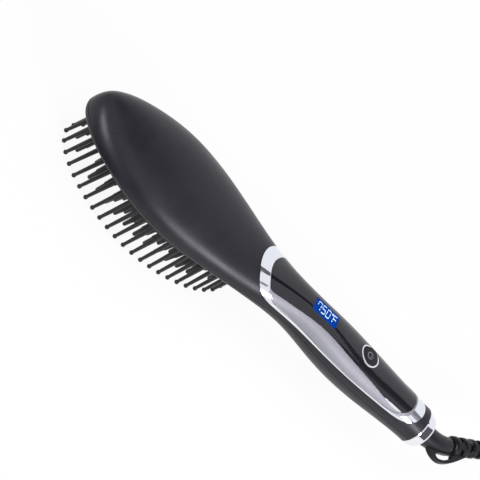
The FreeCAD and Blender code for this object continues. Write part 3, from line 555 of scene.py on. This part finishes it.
class Finishes(Enum):
    """Every finish of the brush."""

    SOFT_TOUCH = SoftTouch("soft_touch_black", (0.012, 0.0117, 0.016), 0.36, specular=0.3, sheen=0.02,
                           shade=0.08, grain=0.000008, grain_scale=3500)
    RIM = SoftTouch("rim_black", (0.012, 0.012, 0.015), 0.4, specular=0.3, grain=0.00001, grain_scale=3500)
    GLOSS = PolishedMoulding("panel_gloss_black", (0.004, 0.004, 0.006), 0.045, specular=0.62, wander=0.02)
    TRIM = BeadedChrome("bright_chrome_trim", (0.84, 0.86, 0.88), 0.06, metallic=1.0, shade=0.01,
                        wander=0.015, cloud=200)
    CHROME = Finish("bright_chrome", (0.86, 0.86, 0.9), 0.05, metallic=1.0, shade=0.01, wander=0.015,
                    cloud=200, grain=0.000001, grain_scale=1500)
    LENS = Glow("lens_blue", (0.001, 0.006, 0.04), 0.12, specular=0.4, ior=1.07, shade=0.15, wander=0.02,
                cloud=140, light=(0.002, 0.05, 0.34), dim=(0.001, 0.035, 0.24))
    DIGIT = Glow("display_digits", (0.3, 0.4, 0.5), 0.3, light=(0.66, 0.83, 1.0), dim=(0.54, 0.75, 0.98))
    BUTTON = Finish("button_cap", (0.005, 0.005, 0.007), 0.26, ior=1.36, grain=0.000006, grain_scale=2600)
    MARK = Finish("button_mark", (0.2, 0.2, 0.22), 0.5, specular=0.2, shade=0.2)
    BRISTLE = Finish("bristle_nylon", (0.007, 0.007, 0.009), 0.34, specular=0.3, wander=0.06, cloud=300)
    PLATE = Finish("plate_ceramic_coating", (0.008, 0.008, 0.01), 0.42, specular=0.3, grain=0.000015,
                   grain_scale=2200)
    TIP = Finish("tooth_tip_nylon", (0.01, 0.01, 0.012), 0.4, specular=0.3, wander=0.05, cloud=300)
    RUBBER = Finish("boot_satin", (0.006, 0.006, 0.008), 0.36, specular=0.33, wander=0.07, cloud=220,
                    grain=0.00001, grain_scale=2400)
    RIBS = Finish("relief_rubber", (0.005, 0.005, 0.007), 0.33, specular=0.22, wander=0.07, cloud=220,
                  grain=0.00001, grain_scale=2400)
    CORD = Finish("cord_sheath", (0.012, 0.012, 0.014), 0.42, specular=0.4, wander=0.06, cloud=90,
                  grain=0.00001, grain_scale=1800)
    STRAP = Webbing("tie_webbing", (0.02, 0.02, 0.023), 0.8, sheen=0.2)
    BLADE = DrawnMetal("plug_blade_brass", (0.74, 0.66, 0.45), 0.25, metallic=1.0)
    SPRING = DrawnMetal("spring_steel", (0.6, 0.6, 0.62), 0.25, metallic=1.0)
    SCREW = DrawnMetal("screw_zinc", (0.5, 0.5, 0.53), 0.32, metallic=1.0)
    COPPER = DrawnMetal("contact_copper", (0.75, 0.4, 0.2), 0.25, metallic=1.0)
    BOARD = Finish("board_solder_mask", (0.01, 0.11, 0.04), 0.35, coat=0.4, shade=0.25, cloud=500)
    PART_BLACK = Finish("component_epoxy", (0.02, 0.02, 0.022), 0.5, grain=0.00001)
    CAPACITOR = Finish("capacitor_sleeve", (0.02, 0.06, 0.25), 0.25, coat=0.4)
    HOUSING = Finish("light_box_white", (0.75, 0.77, 0.8), 0.45)
    CERAMIC = Finish("heater_ceramic", (0.78, 0.75, 0.68), 0.5, shade=0.08, grain=0.00001)
    MICA = Finish("mica_sheet", (0.5, 0.4, 0.24), 0.35, shade=0.3, cloud=400)
    CAN = DrawnMetal("fuse_can", (0.7, 0.7, 0.7), 0.3, metallic=1.0)
    WIRE = Finish("wire_silicone", (0.72, 0.7, 0.66), 0.5)
    ACETAL = Finish("swivel_acetal", (0.03, 0.03, 0.033), 0.4)

    @property
    def material(self) -> bpy.types.Material:
        """The finish's material, built the first time that it is asked for."""
        if self.name not in BUILT:
            BUILT[self.name] = self.value.material()
        return BUILT[self.name]


# ---------------------------------- Pieces ----------------------------------


def node_object(node: str) -> bpy.types.Object:
    """Return the object that carries a CAD node."""
    return bpy.data.objects[node]


def node_centre(node: str) -> Vector:
    """Return the middle of a CAD node's box."""
    low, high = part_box(node)
    return (Vector(low) + Vector(high)) / 2


def put(name: str, data: bpy.types.ID) -> bpy.types.Object:
    """Put an object in the scene.

    Args:
        name: the object's name.
        data: its mesh, curve, lamp or camera.

    Returns:
        The new object.
    """
    thing = bpy.data.objects.new(name, data)
    bpy.context.scene.collection.objects.link(thing)
    return thing


def put_sheet(name: str, corners: list[Vector]) -> bpy.types.Object:
    """Put a flat sheet in the scene.

    Args:
        name: the object's name.
        corners: its four corners in order.

    Returns:
        The new object.
    """
    mesh = bpy.data.meshes.new(name)
    mesh.from_pydata(corners, [], [(0, 1, 2, 3)])
    return put(name, mesh)


def new_piece(name: str, mesh: bpy.types.Mesh, finish: Finishes, body: str) -> bpy.types.Object:
    """Put a mesh in the scene as a piece that rides on a body.

    Args:
        name: the piece's name.
        mesh: its mesh, in metres in the frame.
        finish: what it is made of.
        body: the body that it moves with.

    Returns:
        The new object.
    """
    piece = put(name, mesh)
    mesh.materials.append(finish.material)
    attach(piece, body)
    return piece


def laid_mesh(name: str, outlines: list[Outline], node: str, centre: Vector, lift: float) -> bpy.types.Mesh:
    """Lay flat outlines on the top of a node, as a print or an inlay.

    Args:
        name: the mesh's name.
        outlines: closed outlines about the centre, in metres in plan.
        node: the node that carries them.
        centre: where their origin lies in plan.
        lift: how far they stand above the surface.

    Returns:
        The mesh, which reaches into the node so that no gap shows.
    """
    tree = BVHTree.FromObject(node_object(node), bpy.context.evaluated_depsgraph_get())
    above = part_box(node)[1][2] + RAY_CLEARANCE
    work = bmesh.new()
    for outline in outlines:
        corners = []
        for point in outline:
            start = Vector((centre.x + point.x, centre.y + point.y, above))
            hit, normal, _, _ = tree.ray_cast(start, DOWN)
            corners.append(work.verts.new(hit + normal * lift))
        work.faces.new(corners)
    for face in work.faces:
        face.normal_update()
        if face.normal.z < 0:
            face.normal_flip()
    bmesh.ops.solidify(work, geom=work.faces[:], thickness=lift * PRINT_DEPTH)
    mesh = bpy.data.meshes.new(name)
    work.to_mesh(mesh)
    work.free()
    return mesh


def dressed(finishes: dict[str, Finishes]) -> dict[str, Finishes]:
    """Return a dataclass field that holds the finish of each CAD node in a group."""
    return field(default_factory=lambda: dict(finishes))


@dataclass
class SubAssembly:
    """A group of nodes and pieces that belong together.

    Attributes:
        finishes: the finish of each CAD node in the group.
    """

    finishes: dict[str, Finishes] = dressed({})

    def dress(self) -> None:
        """Give every CAD node of the group its finish."""
        for node, finish in self.finishes.items():
            piece = node_object(node)
            if not piece.material_slots:
                piece.data.materials.append(finish.material)
            for place in piece.material_slots:
                place.material = finish.material

    def add_pieces(self) -> list[str]:
        """Build the group's own pieces and return what each is."""
        return []

    def build(self) -> None:
        """Dress the nodes, add the pieces and report both."""
        self.dress()
        pieces = self.add_pieces()
        LOG.info("%s: %s", type(self).__name__, ", ".join([*self.finishes, *pieces]))


@dataclass
class Shells(SubAssembly):
    """Smooth back, handle and rim, with the plugs over their screws."""

    finishes: dict[str, Finishes] = dressed({
        "back_shell": Finishes.SOFT_TOUCH, "front_shell": Finishes.RIM, "screw_plugs": Finishes.RIM,
        "shell_screws": Finishes.SCREW,
    })


@dataclass
class ControlPanel(SubAssembly):
    """Gloss panel in its chrome loop."""

    finishes: dict[str, Finishes] = dressed({
        "trim_ring": Finishes.TRIM, "control_panel": Finishes.GLOSS,
    })


class Segment(Enum):
    """Strokes of a seven segment digit: start and end in digit units, width 1 and height 2."""

    TOP = ((0.0, 2.0), (1.0, 2.0))
    UPPER_LEFT = ((0.0, 1.0), (0.0, 2.0))
    UPPER_RIGHT = ((1.0, 1.0), (1.0, 2.0))
    MIDDLE = ((0.0, 1.0), (1.0, 1.0))
    LOWER_LEFT = ((0.0, 0.0), (0.0, 1.0))
    LOWER_RIGHT = ((1.0, 0.0), (1.0, 1.0))
    BOTTOM = ((0.0, 0.0), (1.0, 0.0))


SQUARE_RING = (((0, 0), (1, 0)), ((1, 0), (1, 1)), ((1, 1), (0, 1)), ((0, 1), (0, 0)))
GLYPHS: dict[str, tuple[Segment, ...]] = {
    "7": (Segment.TOP, Segment.UPPER_LEFT, Segment.UPPER_RIGHT, Segment.LOWER_RIGHT),
    "5": (Segment.TOP, Segment.UPPER_LEFT, Segment.MIDDLE, Segment.LOWER_RIGHT, Segment.BOTTOM),
    "0": (Segment.TOP, Segment.UPPER_LEFT, Segment.UPPER_RIGHT, Segment.LOWER_LEFT, Segment.LOWER_RIGHT,
          Segment.BOTTOM),
    "F": (Segment.TOP, Segment.UPPER_LEFT, Segment.MIDDLE, Segment.LOWER_LEFT),
}


@dataclass
class Display(SubAssembly):
    """Blue display: its lens, light box and lit digits.

    Attributes:
        reading: the characters shown, where a degree sign is a small square ring.
        height: a digit's height in metres.
        width: a digit's width in metres.
        pitch: the distance from one digit to the next.
        stroke: a stroke's width.
        slant: how far the digits lean, as a share of their height.
        lift: how far the digits stand above the lens.
        point_gap: what a stroke stops short of a corner by, in strokes.
        degree_size: the degree sign's side, in digit widths.
        degree_space: the room after it, in strokes.
    """

    finishes: dict[str, Finishes] = dressed({
        "display_window": Finishes.LENS, "display_module": Finishes.HOUSING,
    })
    reading: str = "750°F"
    height: float = 5.4 * MM
    width: float = 2.5 * MM
    pitch: float = 3.75 * MM
    stroke: float = 0.5 * MM
    slant: float = 0.1
    lift: float = 0.04 * MM
    point_gap: float = 0.06
    degree_size: float = 0.42
    degree_space: float = 1.3

    def stroke_outline(self, start: Vector, end: Vector) -> Outline:
        """Draw a stroke with pointed ends.

        Args:
            start: the corner it starts from.
            end: the corner it ends at.

        Returns:
            Its six corners.
        """
        along = (end - start).normalized()
        across = Vector((-along.y, along.x)) * self.stroke / 2
        gap = along * self.stroke * self.point_gap
        tip = along * self.stroke / 2
        start, end = start + gap, end - gap
        return [start, start + tip + across, end - tip + across,
                end, end - tip - across, start + tip - across]

    def outlines(self) -> list[Outline]:
        """Draw the reading, centred on the origin.

        Returns:
            Every stroke's outline.
        """
        strokes = []
        cursor = 0.0
        for character in self.reading:
            if character == "°":
                size = self.width * self.degree_size
                low = self.height - size
                for side in SQUARE_RING:
                    strokes.append(self.stroke_outline(
                        *(Vector((cursor + x * size, low + y * size)) for x, y in side)))
                cursor += size + self.stroke * self.degree_space
                continue
            for segment in GLYPHS[character]:
                ends = [Vector((cursor + x * self.width, y * self.height / 2)) for x, y in segment.value]
                strokes.append(self.stroke_outline(*ends))
            cursor += self.pitch
        total = cursor - self.pitch + self.width
        for stroke in strokes:
            for point in stroke:
                point.x += self.slant * point.y - total / 2
                point.y -= self.height / 2
        return strokes

    def add_pieces(self) -> list[str]:
        """Lay the digits on the lens.

        Returns:
            The name of the piece.
        """
        centre = node_centre("display_window")
        mesh = laid_mesh("display_digits", self.outlines(), "display_window", centre, self.lift)
        new_piece("display_digits", mesh, Finishes.DIGIT, "brush")
        return ["display_digits"]


@dataclass
class PowerButton(SubAssembly):
    """Egg shaped button in its chrome ring, with a switch mark, and what it presses.

    Attributes:
        mark_radius: the mark's radius in metres.
        mark_line: its line width.
        opening: half of the gap in its ring, in degrees.
        steps: how many pieces its ring is drawn in.
        bar: where its bar starts and ends, in radii.
        lift: how far the mark stands above the cap.
        travel: how far the cap goes down; not used.
    """

    finishes: dict[str, Finishes] = dressed({
        "power_button": Finishes.BUTTON, "button_ring": Finishes.CHROME, "button_spring": Finishes.SPRING,
        "tact_switch": Finishes.PART_BLACK,
    })
    mark_radius: float = 2.0 * MM
    mark_line: float = 0.5 * MM
    opening: float = 38.0
    steps: int = 28
    bar: Range = (0.15, 1.25)
    lift: float = 0.03 * MM
    travel: float = 0.6 * MM

    def outlines(self) -> list[Outline]:
        """Draw the mark, centred on the origin.

        Returns:
            The cells of its open ring, and its bar.
        """
        inner, outer = self.mark_radius - self.mark_line / 2, self.mark_radius + self.mark_line / 2
        swept = 360 - 2 * self.opening
        angles = [math.radians(self.opening + swept * k / self.steps) for k in range(self.steps + 1)]
        cells = []
        for a, b in zip(angles, angles[1:]):
            corners = [(inner, a), (outer, a), (outer, b), (inner, b)]
            cells.append([Vector((r * math.cos(turn), r * math.sin(turn))) for r, turn in corners])
        half = self.mark_line / 2
        low, high = (self.mark_radius * share for share in self.bar)
        cells.append([Vector((low, -half)), Vector((high, -half)), Vector((high, half)), Vector((low, half))])
        return cells

    def add_spring(self) -> None:
        """Set a copy of the return spring under the cap, in place of its node."""
        low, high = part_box("button_spring")
        coil = node_object("button_spring").data.copy()
        coil.materials.clear()
        spring = new_piece("return_coil", coil, Finishes.SPRING, "brush")
        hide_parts("button_spring")
        foot = node_centre("button_spring")
        foot.z = low[2]
        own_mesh(spring)

    def add_pieces(self) -> list[str]:
        """Lay the mark on the cap and set the spring under it.

        Returns:
            The names of the pieces.
        """
        self.add_spring()
        centre = node_centre("power_button")
        mesh = laid_mesh("button_mark", self.outlines(), "power_button", centre, self.lift)
        new_piece("button_mark", mesh, Finishes.MARK, "button")
        return ["button_mark", "return_coil"]


@dataclass
class HeatedHead(SubAssembly):
    """Bristles, hot plate with its teeth, heater and sensors."""

    finishes: dict[str, Finishes] = dressed({
        "bristle_base": Finishes.BRISTLE, "outer_bristles": Finishes.BRISTLE, "heating_plate": Finishes.PLATE,
        "heating_teeth": Finishes.PLATE, "tooth_tips": Finishes.TIP, "heater": Finishes.CERAMIC,
        "heater_clamps": Finishes.SPRING, "mica_sheet": Finishes.MICA, "thermal_fuse": Finishes.CAN,
        "thermistor": Finishes.CERAMIC, "heater_wires": Finishes.WIRE, "plate_screws": Finishes.SCREW,
    })


@dataclass
class Electronics(SubAssembly):
    """Board in the handle and what stands on it."""

    finishes: dict[str, Finishes] = dressed({
        "circuit_board": Finishes.BOARD, "triac": Finishes.PART_BLACK, "capacitor": Finishes.CAPACITOR,
        "board_screws": Finishes.SCREW, "supply_wires": Finishes.WIRE,
    })


@dataclass
class Swivel(SubAssembly):
    """End ring, swivel, boot, hang loop and strain relief."""

    finishes: dict[str, Finishes] = dressed({
        "tail_ring": Finishes.CHROME, "swivel_socket": Finishes.ACETAL, "swivel_spindle": Finishes.ACETAL,
        "contact_rings": Finishes.COPPER, "contact_brushes": Finishes.COPPER, "swivel_boot": Finishes.RUBBER,
        "hang_loop": Finishes.RIBS, "strain_relief": Finishes.RIBS,
    })


def ease(value: float) -> float:
    """Return a smooth step from 0 to 1."""
    value = min(max(value, 0.0), 1.0)
    return value * value * (3 - 2 * value)


@dataclass
class MainsCord(SubAssembly):
    """Mains cord from the strain relief to the plug, folded into a tied hank.

    Attributes:
        diameter: the cord's diameter in metres.
        exit: where it leaves the strain relief.
        lead: corners of its route to the hank: station, Y, Z in millimetres.
        tail: corners of its route from the hank to the plug.
        centre: the hank's middle, as station and Y.
        fold_at: distance of each fold's centre from the middle.
        fold: radius of the outermost turn at a fold.
        waist: half of the outermost turn's width at the tie.
        pitch: distance between turns.
        low: height of the turns on the table.
        high: height of the turns on top of them.
        steps: the first control point of the hank and the one after its last, of 20 to a turn.
        inward: control points from which the turns step inwards, on the table.
        inward_run: how many points that takes.
        outward: control points from which they step outwards, on top.
        outward_run: how many points that takes.
        climb: the control point from which they climb.
        climb_run: how many points that takes.
        fold_first: angle of a fold's first point in degrees.
        fold_turn: degrees from one of its points to the next.
        fold_reach: how far its points stand outside the curve that they draw, as a ratio.
        waist_turn: angle of the waist's outer points in degrees, about the waist's centre.
        waist_reach: how far the waist's points stand outside their curve, as a ratio.
    """

    finishes: dict[str, Finishes] = dressed({
        "power_cord": Finishes.CORD, "cord_hank": Finishes.CORD, "hank_tie": Finishes.STRAP,
        "plug_body": Finishes.RUBBER, "plug_pins": Finishes.BLADE,
    })
    diameter: float = 6.4 * MM
    exit: Point = (0.19461, 0.03679, 0.0305)
    lead: tuple[Point, ...] = (
        (366.6, 43.3, 30.5), (379.1, 48.9, 28.2), (393.7, 51.6, 22.4), (408.9, 51.8, 13.8),
        (423.9, 51.0, 6.6), (439.4, 49.9, 3.2), (455.4, 49.0, 3.3),
    )
    tail: tuple[Point, ...] = (
        (547.3, 50.3, 9.5), (562.8, 49.7, 9.0), (577.8, 47.1, 8.5), (591.3, 43.1, 8.5),
    )
    centre: tuple[float, float] = (503.8, 15.0)
    fold_at: float = 43.0
    fold: float = 33.7
    waist: float = 18.9
    pitch: float = 6.55
    low: float = 3.2
    high: float = 9.75
    steps: tuple[int, int] = (-2, 103)
    inward: tuple[int, ...] = (11, 31)
    inward_run: int = 6
    outward: tuple[int, ...] = (63, 83)
    outward_run: int = 5
    climb: int = 48
    climb_run: int = 6
    fold_first: float = 111.0
    fold_turn: float = 37.0
    fold_reach: float = 1.047
    waist_turn: float = 28.0
    waist_reach: float = 1.012

    def turn_point(self, step: int) -> Vector:
        """Place one control point of the hank.

        The turns step inwards on the table, climb, and step outwards on top of it. Half a turn is a
        point at the middle of the waist, one beside it, seven round a fold, and one back at the waist.

        Args:
            step: the point's number, of 20 to a turn.

        Returns:
            The point.
        """
        inset = self.pitch * (sum(ease((step - start) / self.inward_run) for start in self.inward)
                              - sum(ease((step - start) / self.outward_run) for start in self.outward))
        hollow = (self.fold_at ** 2 + self.waist ** 2 - self.fold ** 2) / (2 * (self.fold - self.waist))
        half = TURN_STEPS // 2
        side, place = divmod(step % TURN_STEPS, half)
        if 2 <= place < half - 1:
            angle = math.radians(self.fold_first - self.fold_turn * (place - 2))
            radius = (self.fold - inset) * self.fold_reach
            x, y = self.fold_at + radius * math.cos(angle), radius * math.sin(angle)
        else:
            angle = math.radians(self.waist_turn) if place else 0.0
            radius = (hollow + inset) * self.waist_reach
            x, y = radius * math.sin(angle), self.waist + hollow - radius * math.cos(angle)
            y = -y if place == half - 1 else y
        turned = -1 if side else 1
        z = self.low + (self.high - self.low) * ease((step - self.climb) / self.climb_run)
        return at(self.centre[0] + turned * x, self.centre[1] + turned * y, z)

    def points(self) -> list[Vector]:
        """Return the control points of the whole cord."""
        hank = [self.turn_point(step) for step in range(*self.steps)]
        return [Vector(self.exit), *(at(*p) for p in self.lead), *hank, *(at(*p) for p in self.tail)]

    def add_pieces(self) -> list[str]:
        """Build the cord along its points.

        Returns:
            The cord's name and measured length.
        """
        points = self.points()
        curve = bpy.data.curves.new("mains_cord", "CURVE")
        curve.dimensions = "3D"
        curve.resolution_u = 6
        curve.bevel_depth = self.diameter / 2
        curve.bevel_resolution = 5
        curve.use_fill_caps = True
        spline = curve.splines.new("NURBS")
        spline.points.add(len(points) - 1)
        for target, point in zip(spline.points, points):
            target.co = (*point, 1.0)
        spline.order_u = 3
        spline.use_endpoint_u = True
        curve.materials.append(Finishes.CORD.material)
        cord = put("mains_cord", curve)
        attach(cord, "cord_swivel")
        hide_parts("power_cord", "cord_hank")
        return [f"mains_cord {spline.calc_length():.3f} m"]


# ---------------------------------- Studio ----------------------------------


@dataclass
class Camera:
    """The view of the brush: from the nose side and above, turned so that the handle runs down.

    Attributes:
        target: the point in the middle of the view.
        distance: from the target to the lens.
        azimuth: degrees from the -Y side.
        elevation: degrees above the table.
        roll: degrees about the view axis.
        lens: focal length in millimetres.
        sensor: width of the sensor in millimetres.
        nearest: how near the lens a thing can be seen, in metres.
    """

    target: Point = (-0.0472, -0.0023, 0.0400)
    distance: float = 0.8868
    azimuth: float = -30.04
    elevation: float = 43.54
    roll: float = 66.51
    lens: float = 120.0
    sensor: float = 36.0
    nearest: float = 0.01

    def build(self) -> None:
        """Place the camera and make it the scene's."""
        turn, lift, roll = (math.radians(v) for v in (self.azimuth, self.elevation, self.roll))
        back = Vector((math.sin(turn) * math.cos(lift), -math.cos(turn) * math.cos(lift), math.sin(lift)))
        level = Vector((math.cos(turn), math.sin(turn), 0.0))
        upright = back.cross(level)
        right = level * math.cos(roll) + upright * math.sin(roll)
        up = upright * math.cos(roll) - level * math.sin(roll)
        data = bpy.data.cameras.new("camera")
        data.lens = self.lens
        data.sensor_width = self.sensor
        data.clip_start = self.nearest
        camera = put("camera", data)
        placed = Matrix((right, up, back)).transposed().to_4x4()
        placed.translation = Vector(self.target) + back * self.distance
        camera.matrix_world = placed
        bpy.context.scene.camera = camera
        LOG.info("camera at %s", tuple(round(v, 3) for v in placed.translation))


@dataclass(frozen=True)
class Lamp:
    """A rectangular soft lamp that points at the brush.

    Attributes:
        name: its name.
        place: where it hangs.
        size: its width and height in metres.
        power: its power in watts.
        aim: the point that it faces.
        mirrored: True if it lights by reflection too, and False if it only lights matt surfaces.
        colour: its colour.
    """

    name: str
    place: Point
    size: tuple[float, float]
    power: float
    aim: Point = (-0.02, 0.0, 0.03)
    mirrored: bool = True
    colour: Colour = (0.96, 0.95, 1.0)

    def build(self) -> None:
        """Hang the lamp."""
        data = bpy.data.lights.new(self.name, "AREA")
        data.shape = "RECTANGLE"
        data.size, data.size_y = self.size
        data.energy = self.power
        data.color = self.colour
        lamp = put(self.name, data)
        lamp.location = self.place
        lamp.rotation_euler = (Vector(self.aim) - Vector(self.place)).to_track_quat("-Z", "Y").to_euler()
        lamp.visible_glossy = self.mirrored


@dataclass(frozen=True)
class Card:
    """A grey card round the brush, which only shows where surfaces mirror it.

    Attributes:
        name: its name.
        start: one end of its centre line in plan.
        end: the other end.
        width: its width in metres.
        height: the height of its centre line.
        tone: how bright it is, where the room is 1.
        upright: True if it stands, and False if it lies flat.
    """

    name: str
    start: tuple[float, float]
    end: tuple[float, float]
    width: float
    height: float = 1.2
    tone: float = 0.25
    upright: bool = False

    def build(self) -> None:
        """Hang the card along its centre line."""
        start, end = Vector((*self.start, self.height)), Vector((*self.end, self.height))
        along = (end - start).normalized()
        across = Vector((0, 0, 1)) if self.upright else Vector((-along.y, along.x, 0))
        across *= self.width / 2
        card = put_sheet(self.name, [start - across, end - across, end + across, start + across])
        sheet = NodeSheet(self.name)
        glow = sheet.add("ShaderNodeEmission", {"Color": (self.tone, self.tone, self.tone * COOL_CAST, 1.0)})
        sheet.join(glow.outputs["Emission"], sheet.output.inputs["Surface"])
        card.data.materials.append(sheet.material)
        card.visible_camera = False
        card.visible_diffuse = False
        card.visible_shadow = False
        card.visible_transmission = False


@dataclass
class Studio:
    """White table, soft lamps, grey cards and the world's light.

    Attributes:
        table_size: the side of the table in metres.
        table_drop: how far it lies under what rests on it.
        table_colour: its colour.
        table_roughness: its roughness.
        white_share: how much of the table's look is plain white where it is seen or mirrored.
        world_light: the world's strength as light on the object.
        tint: the world's colour as light and in reflections.
        plain: its colour where it is seen.
        lamps: the lamps.
        cards: the grey cards.
    """

    table_size: float = 6.0
    table_drop: float = 0.0002
    table_colour: Colour = (0.9, 0.9, 0.9)
    table_roughness: float = 0.9
    white_share: float = 0.92
    world_light: float = 0.42
    tint: Colour = (0.93, 0.93, 1.0)
    plain: Colour = (1.0, 1.0, 1.0)
    lamps: tuple[Lamp, ...] = (
        Lamp("top_lamp", (-0.2, 0.2, 1.5), (1.4, 1.4), 12.0, mirrored=False),
        Lamp("nose_lamp", (-0.95, -0.85, 0.16), (0.5, 0.28), 6.5),
        Lamp("shoulder_lamp", (0.70, -0.80, 0.60), (0.64, 0.32), 10.5),
    )
    cards: tuple[Card, ...] = (
        Card("head_card", (0.0, -0.3), (0.0, 1.6), 0.66, tone=0.2),
        Card("low_card", (-0.75, -1.4), (0.12, -1.4), 0.95, 0.48, 0.12, True),
        Card("panel_card", (0.2, 0.3), (0.72, 0.35), 0.21, tone=0.13),
        Card("handle_card", (0.66, 0.33), (0.88, -0.22), 0.16, tone=0.22),
        Card("line_card", (0.69, -0.3), (0.8, -0.48), 0.09, tone=0.3),
        Card("tail_card", (0.8, -0.24), (0.88, -0.44), 0.12, tone=0.35),
        Card("edge_card", (1.0, -1.1), (1.16, -1.34), 0.16, tone=0.2),
        Card("floor_card", (-0.2, -0.3), (-0.08, -0.27), 0.5, 0.0015, 0.05),
        Card("ring_card", (0.155, -0.018), (0.43, -0.19), 0.072, 0.08, 0.1),
    )

    def world(self) -> None:
        """Light the scene from all round, white where it is seen or mirrored."""
        world = bpy.data.worlds.new("studio")
        bpy.context.scene.world = world
        world.use_nodes = True
        nodes = Nodes(world.node_tree)
        output = nodes.add("ShaderNodeOutputWorld")
        background = nodes.add("ShaderNodeBackground")
        path = nodes.add("ShaderNodeLightPath")
        nodes.join(nodes.spread(nodes.seen(path), self.world_light, 1.0), background.inputs["Strength"])
        colour = nodes.mix(path.outputs["Is Camera Ray"], self.tint, self.plain)
        nodes.join(colour, background.inputs["Color"])
        nodes.join(background.outputs["Background"], output.inputs["Surface"])

    def table(self) -> None:
        """Lay the white table: white where it is seen or mirrored, with the brush's soft shadow."""
        half = self.table_size / 2
        table = put_sheet("table", [Vector((x * half, y * half, 0)) for x, y in CORNERS])
        table.location.z = -self.table_drop
        sheet = NodeSheet("table_white", {
            "Base Color": (*self.table_colour, 1.0), "Roughness": self.table_roughness,
            "Specular IOR Level": 0.0,
        })
        share = sheet.spread(sheet.seen(sheet.add("ShaderNodeLightPath")), 0.0, self.white_share)
        white = sheet.add("ShaderNodeEmission")
        blend = sheet.add("ShaderNodeMixShader")
        sheet.join(share, blend.inputs["Fac"])
        sheet.join(sheet.shader.outputs["BSDF"], blend.inputs[1])
        sheet.join(white.outputs["Emission"], blend.inputs[2])
        sheet.join(blend.outputs["Shader"], sheet.output.inputs["Surface"])
        table.data.materials.append(sheet.material)

    def build(self) -> None:
        """Set the stage."""
        bpy.context.scene.view_settings.view_transform = "Standard"
        self.world()
        self.table()
        for prop in (*self.lamps, *self.cards):
            prop.build()
        LOG.info("studio: %d lamps, %d cards", len(self.lamps), len(self.cards))


def main() -> None:
    """Build the camera, every sub-assembly and the studio."""
    logging.basicConfig(level=logging.INFO, format="%(name)s: %(message)s")
    Camera().build()
    groups: tuple[type[SubAssembly], ...] = (
        MainsCord, Shells, ControlPanel, Display, PowerButton, HeatedHead, Electronics, Swivel,
    )
    for group in groups:
        group().build()
    Studio().build()


if __name__ == "__main__":
    main()
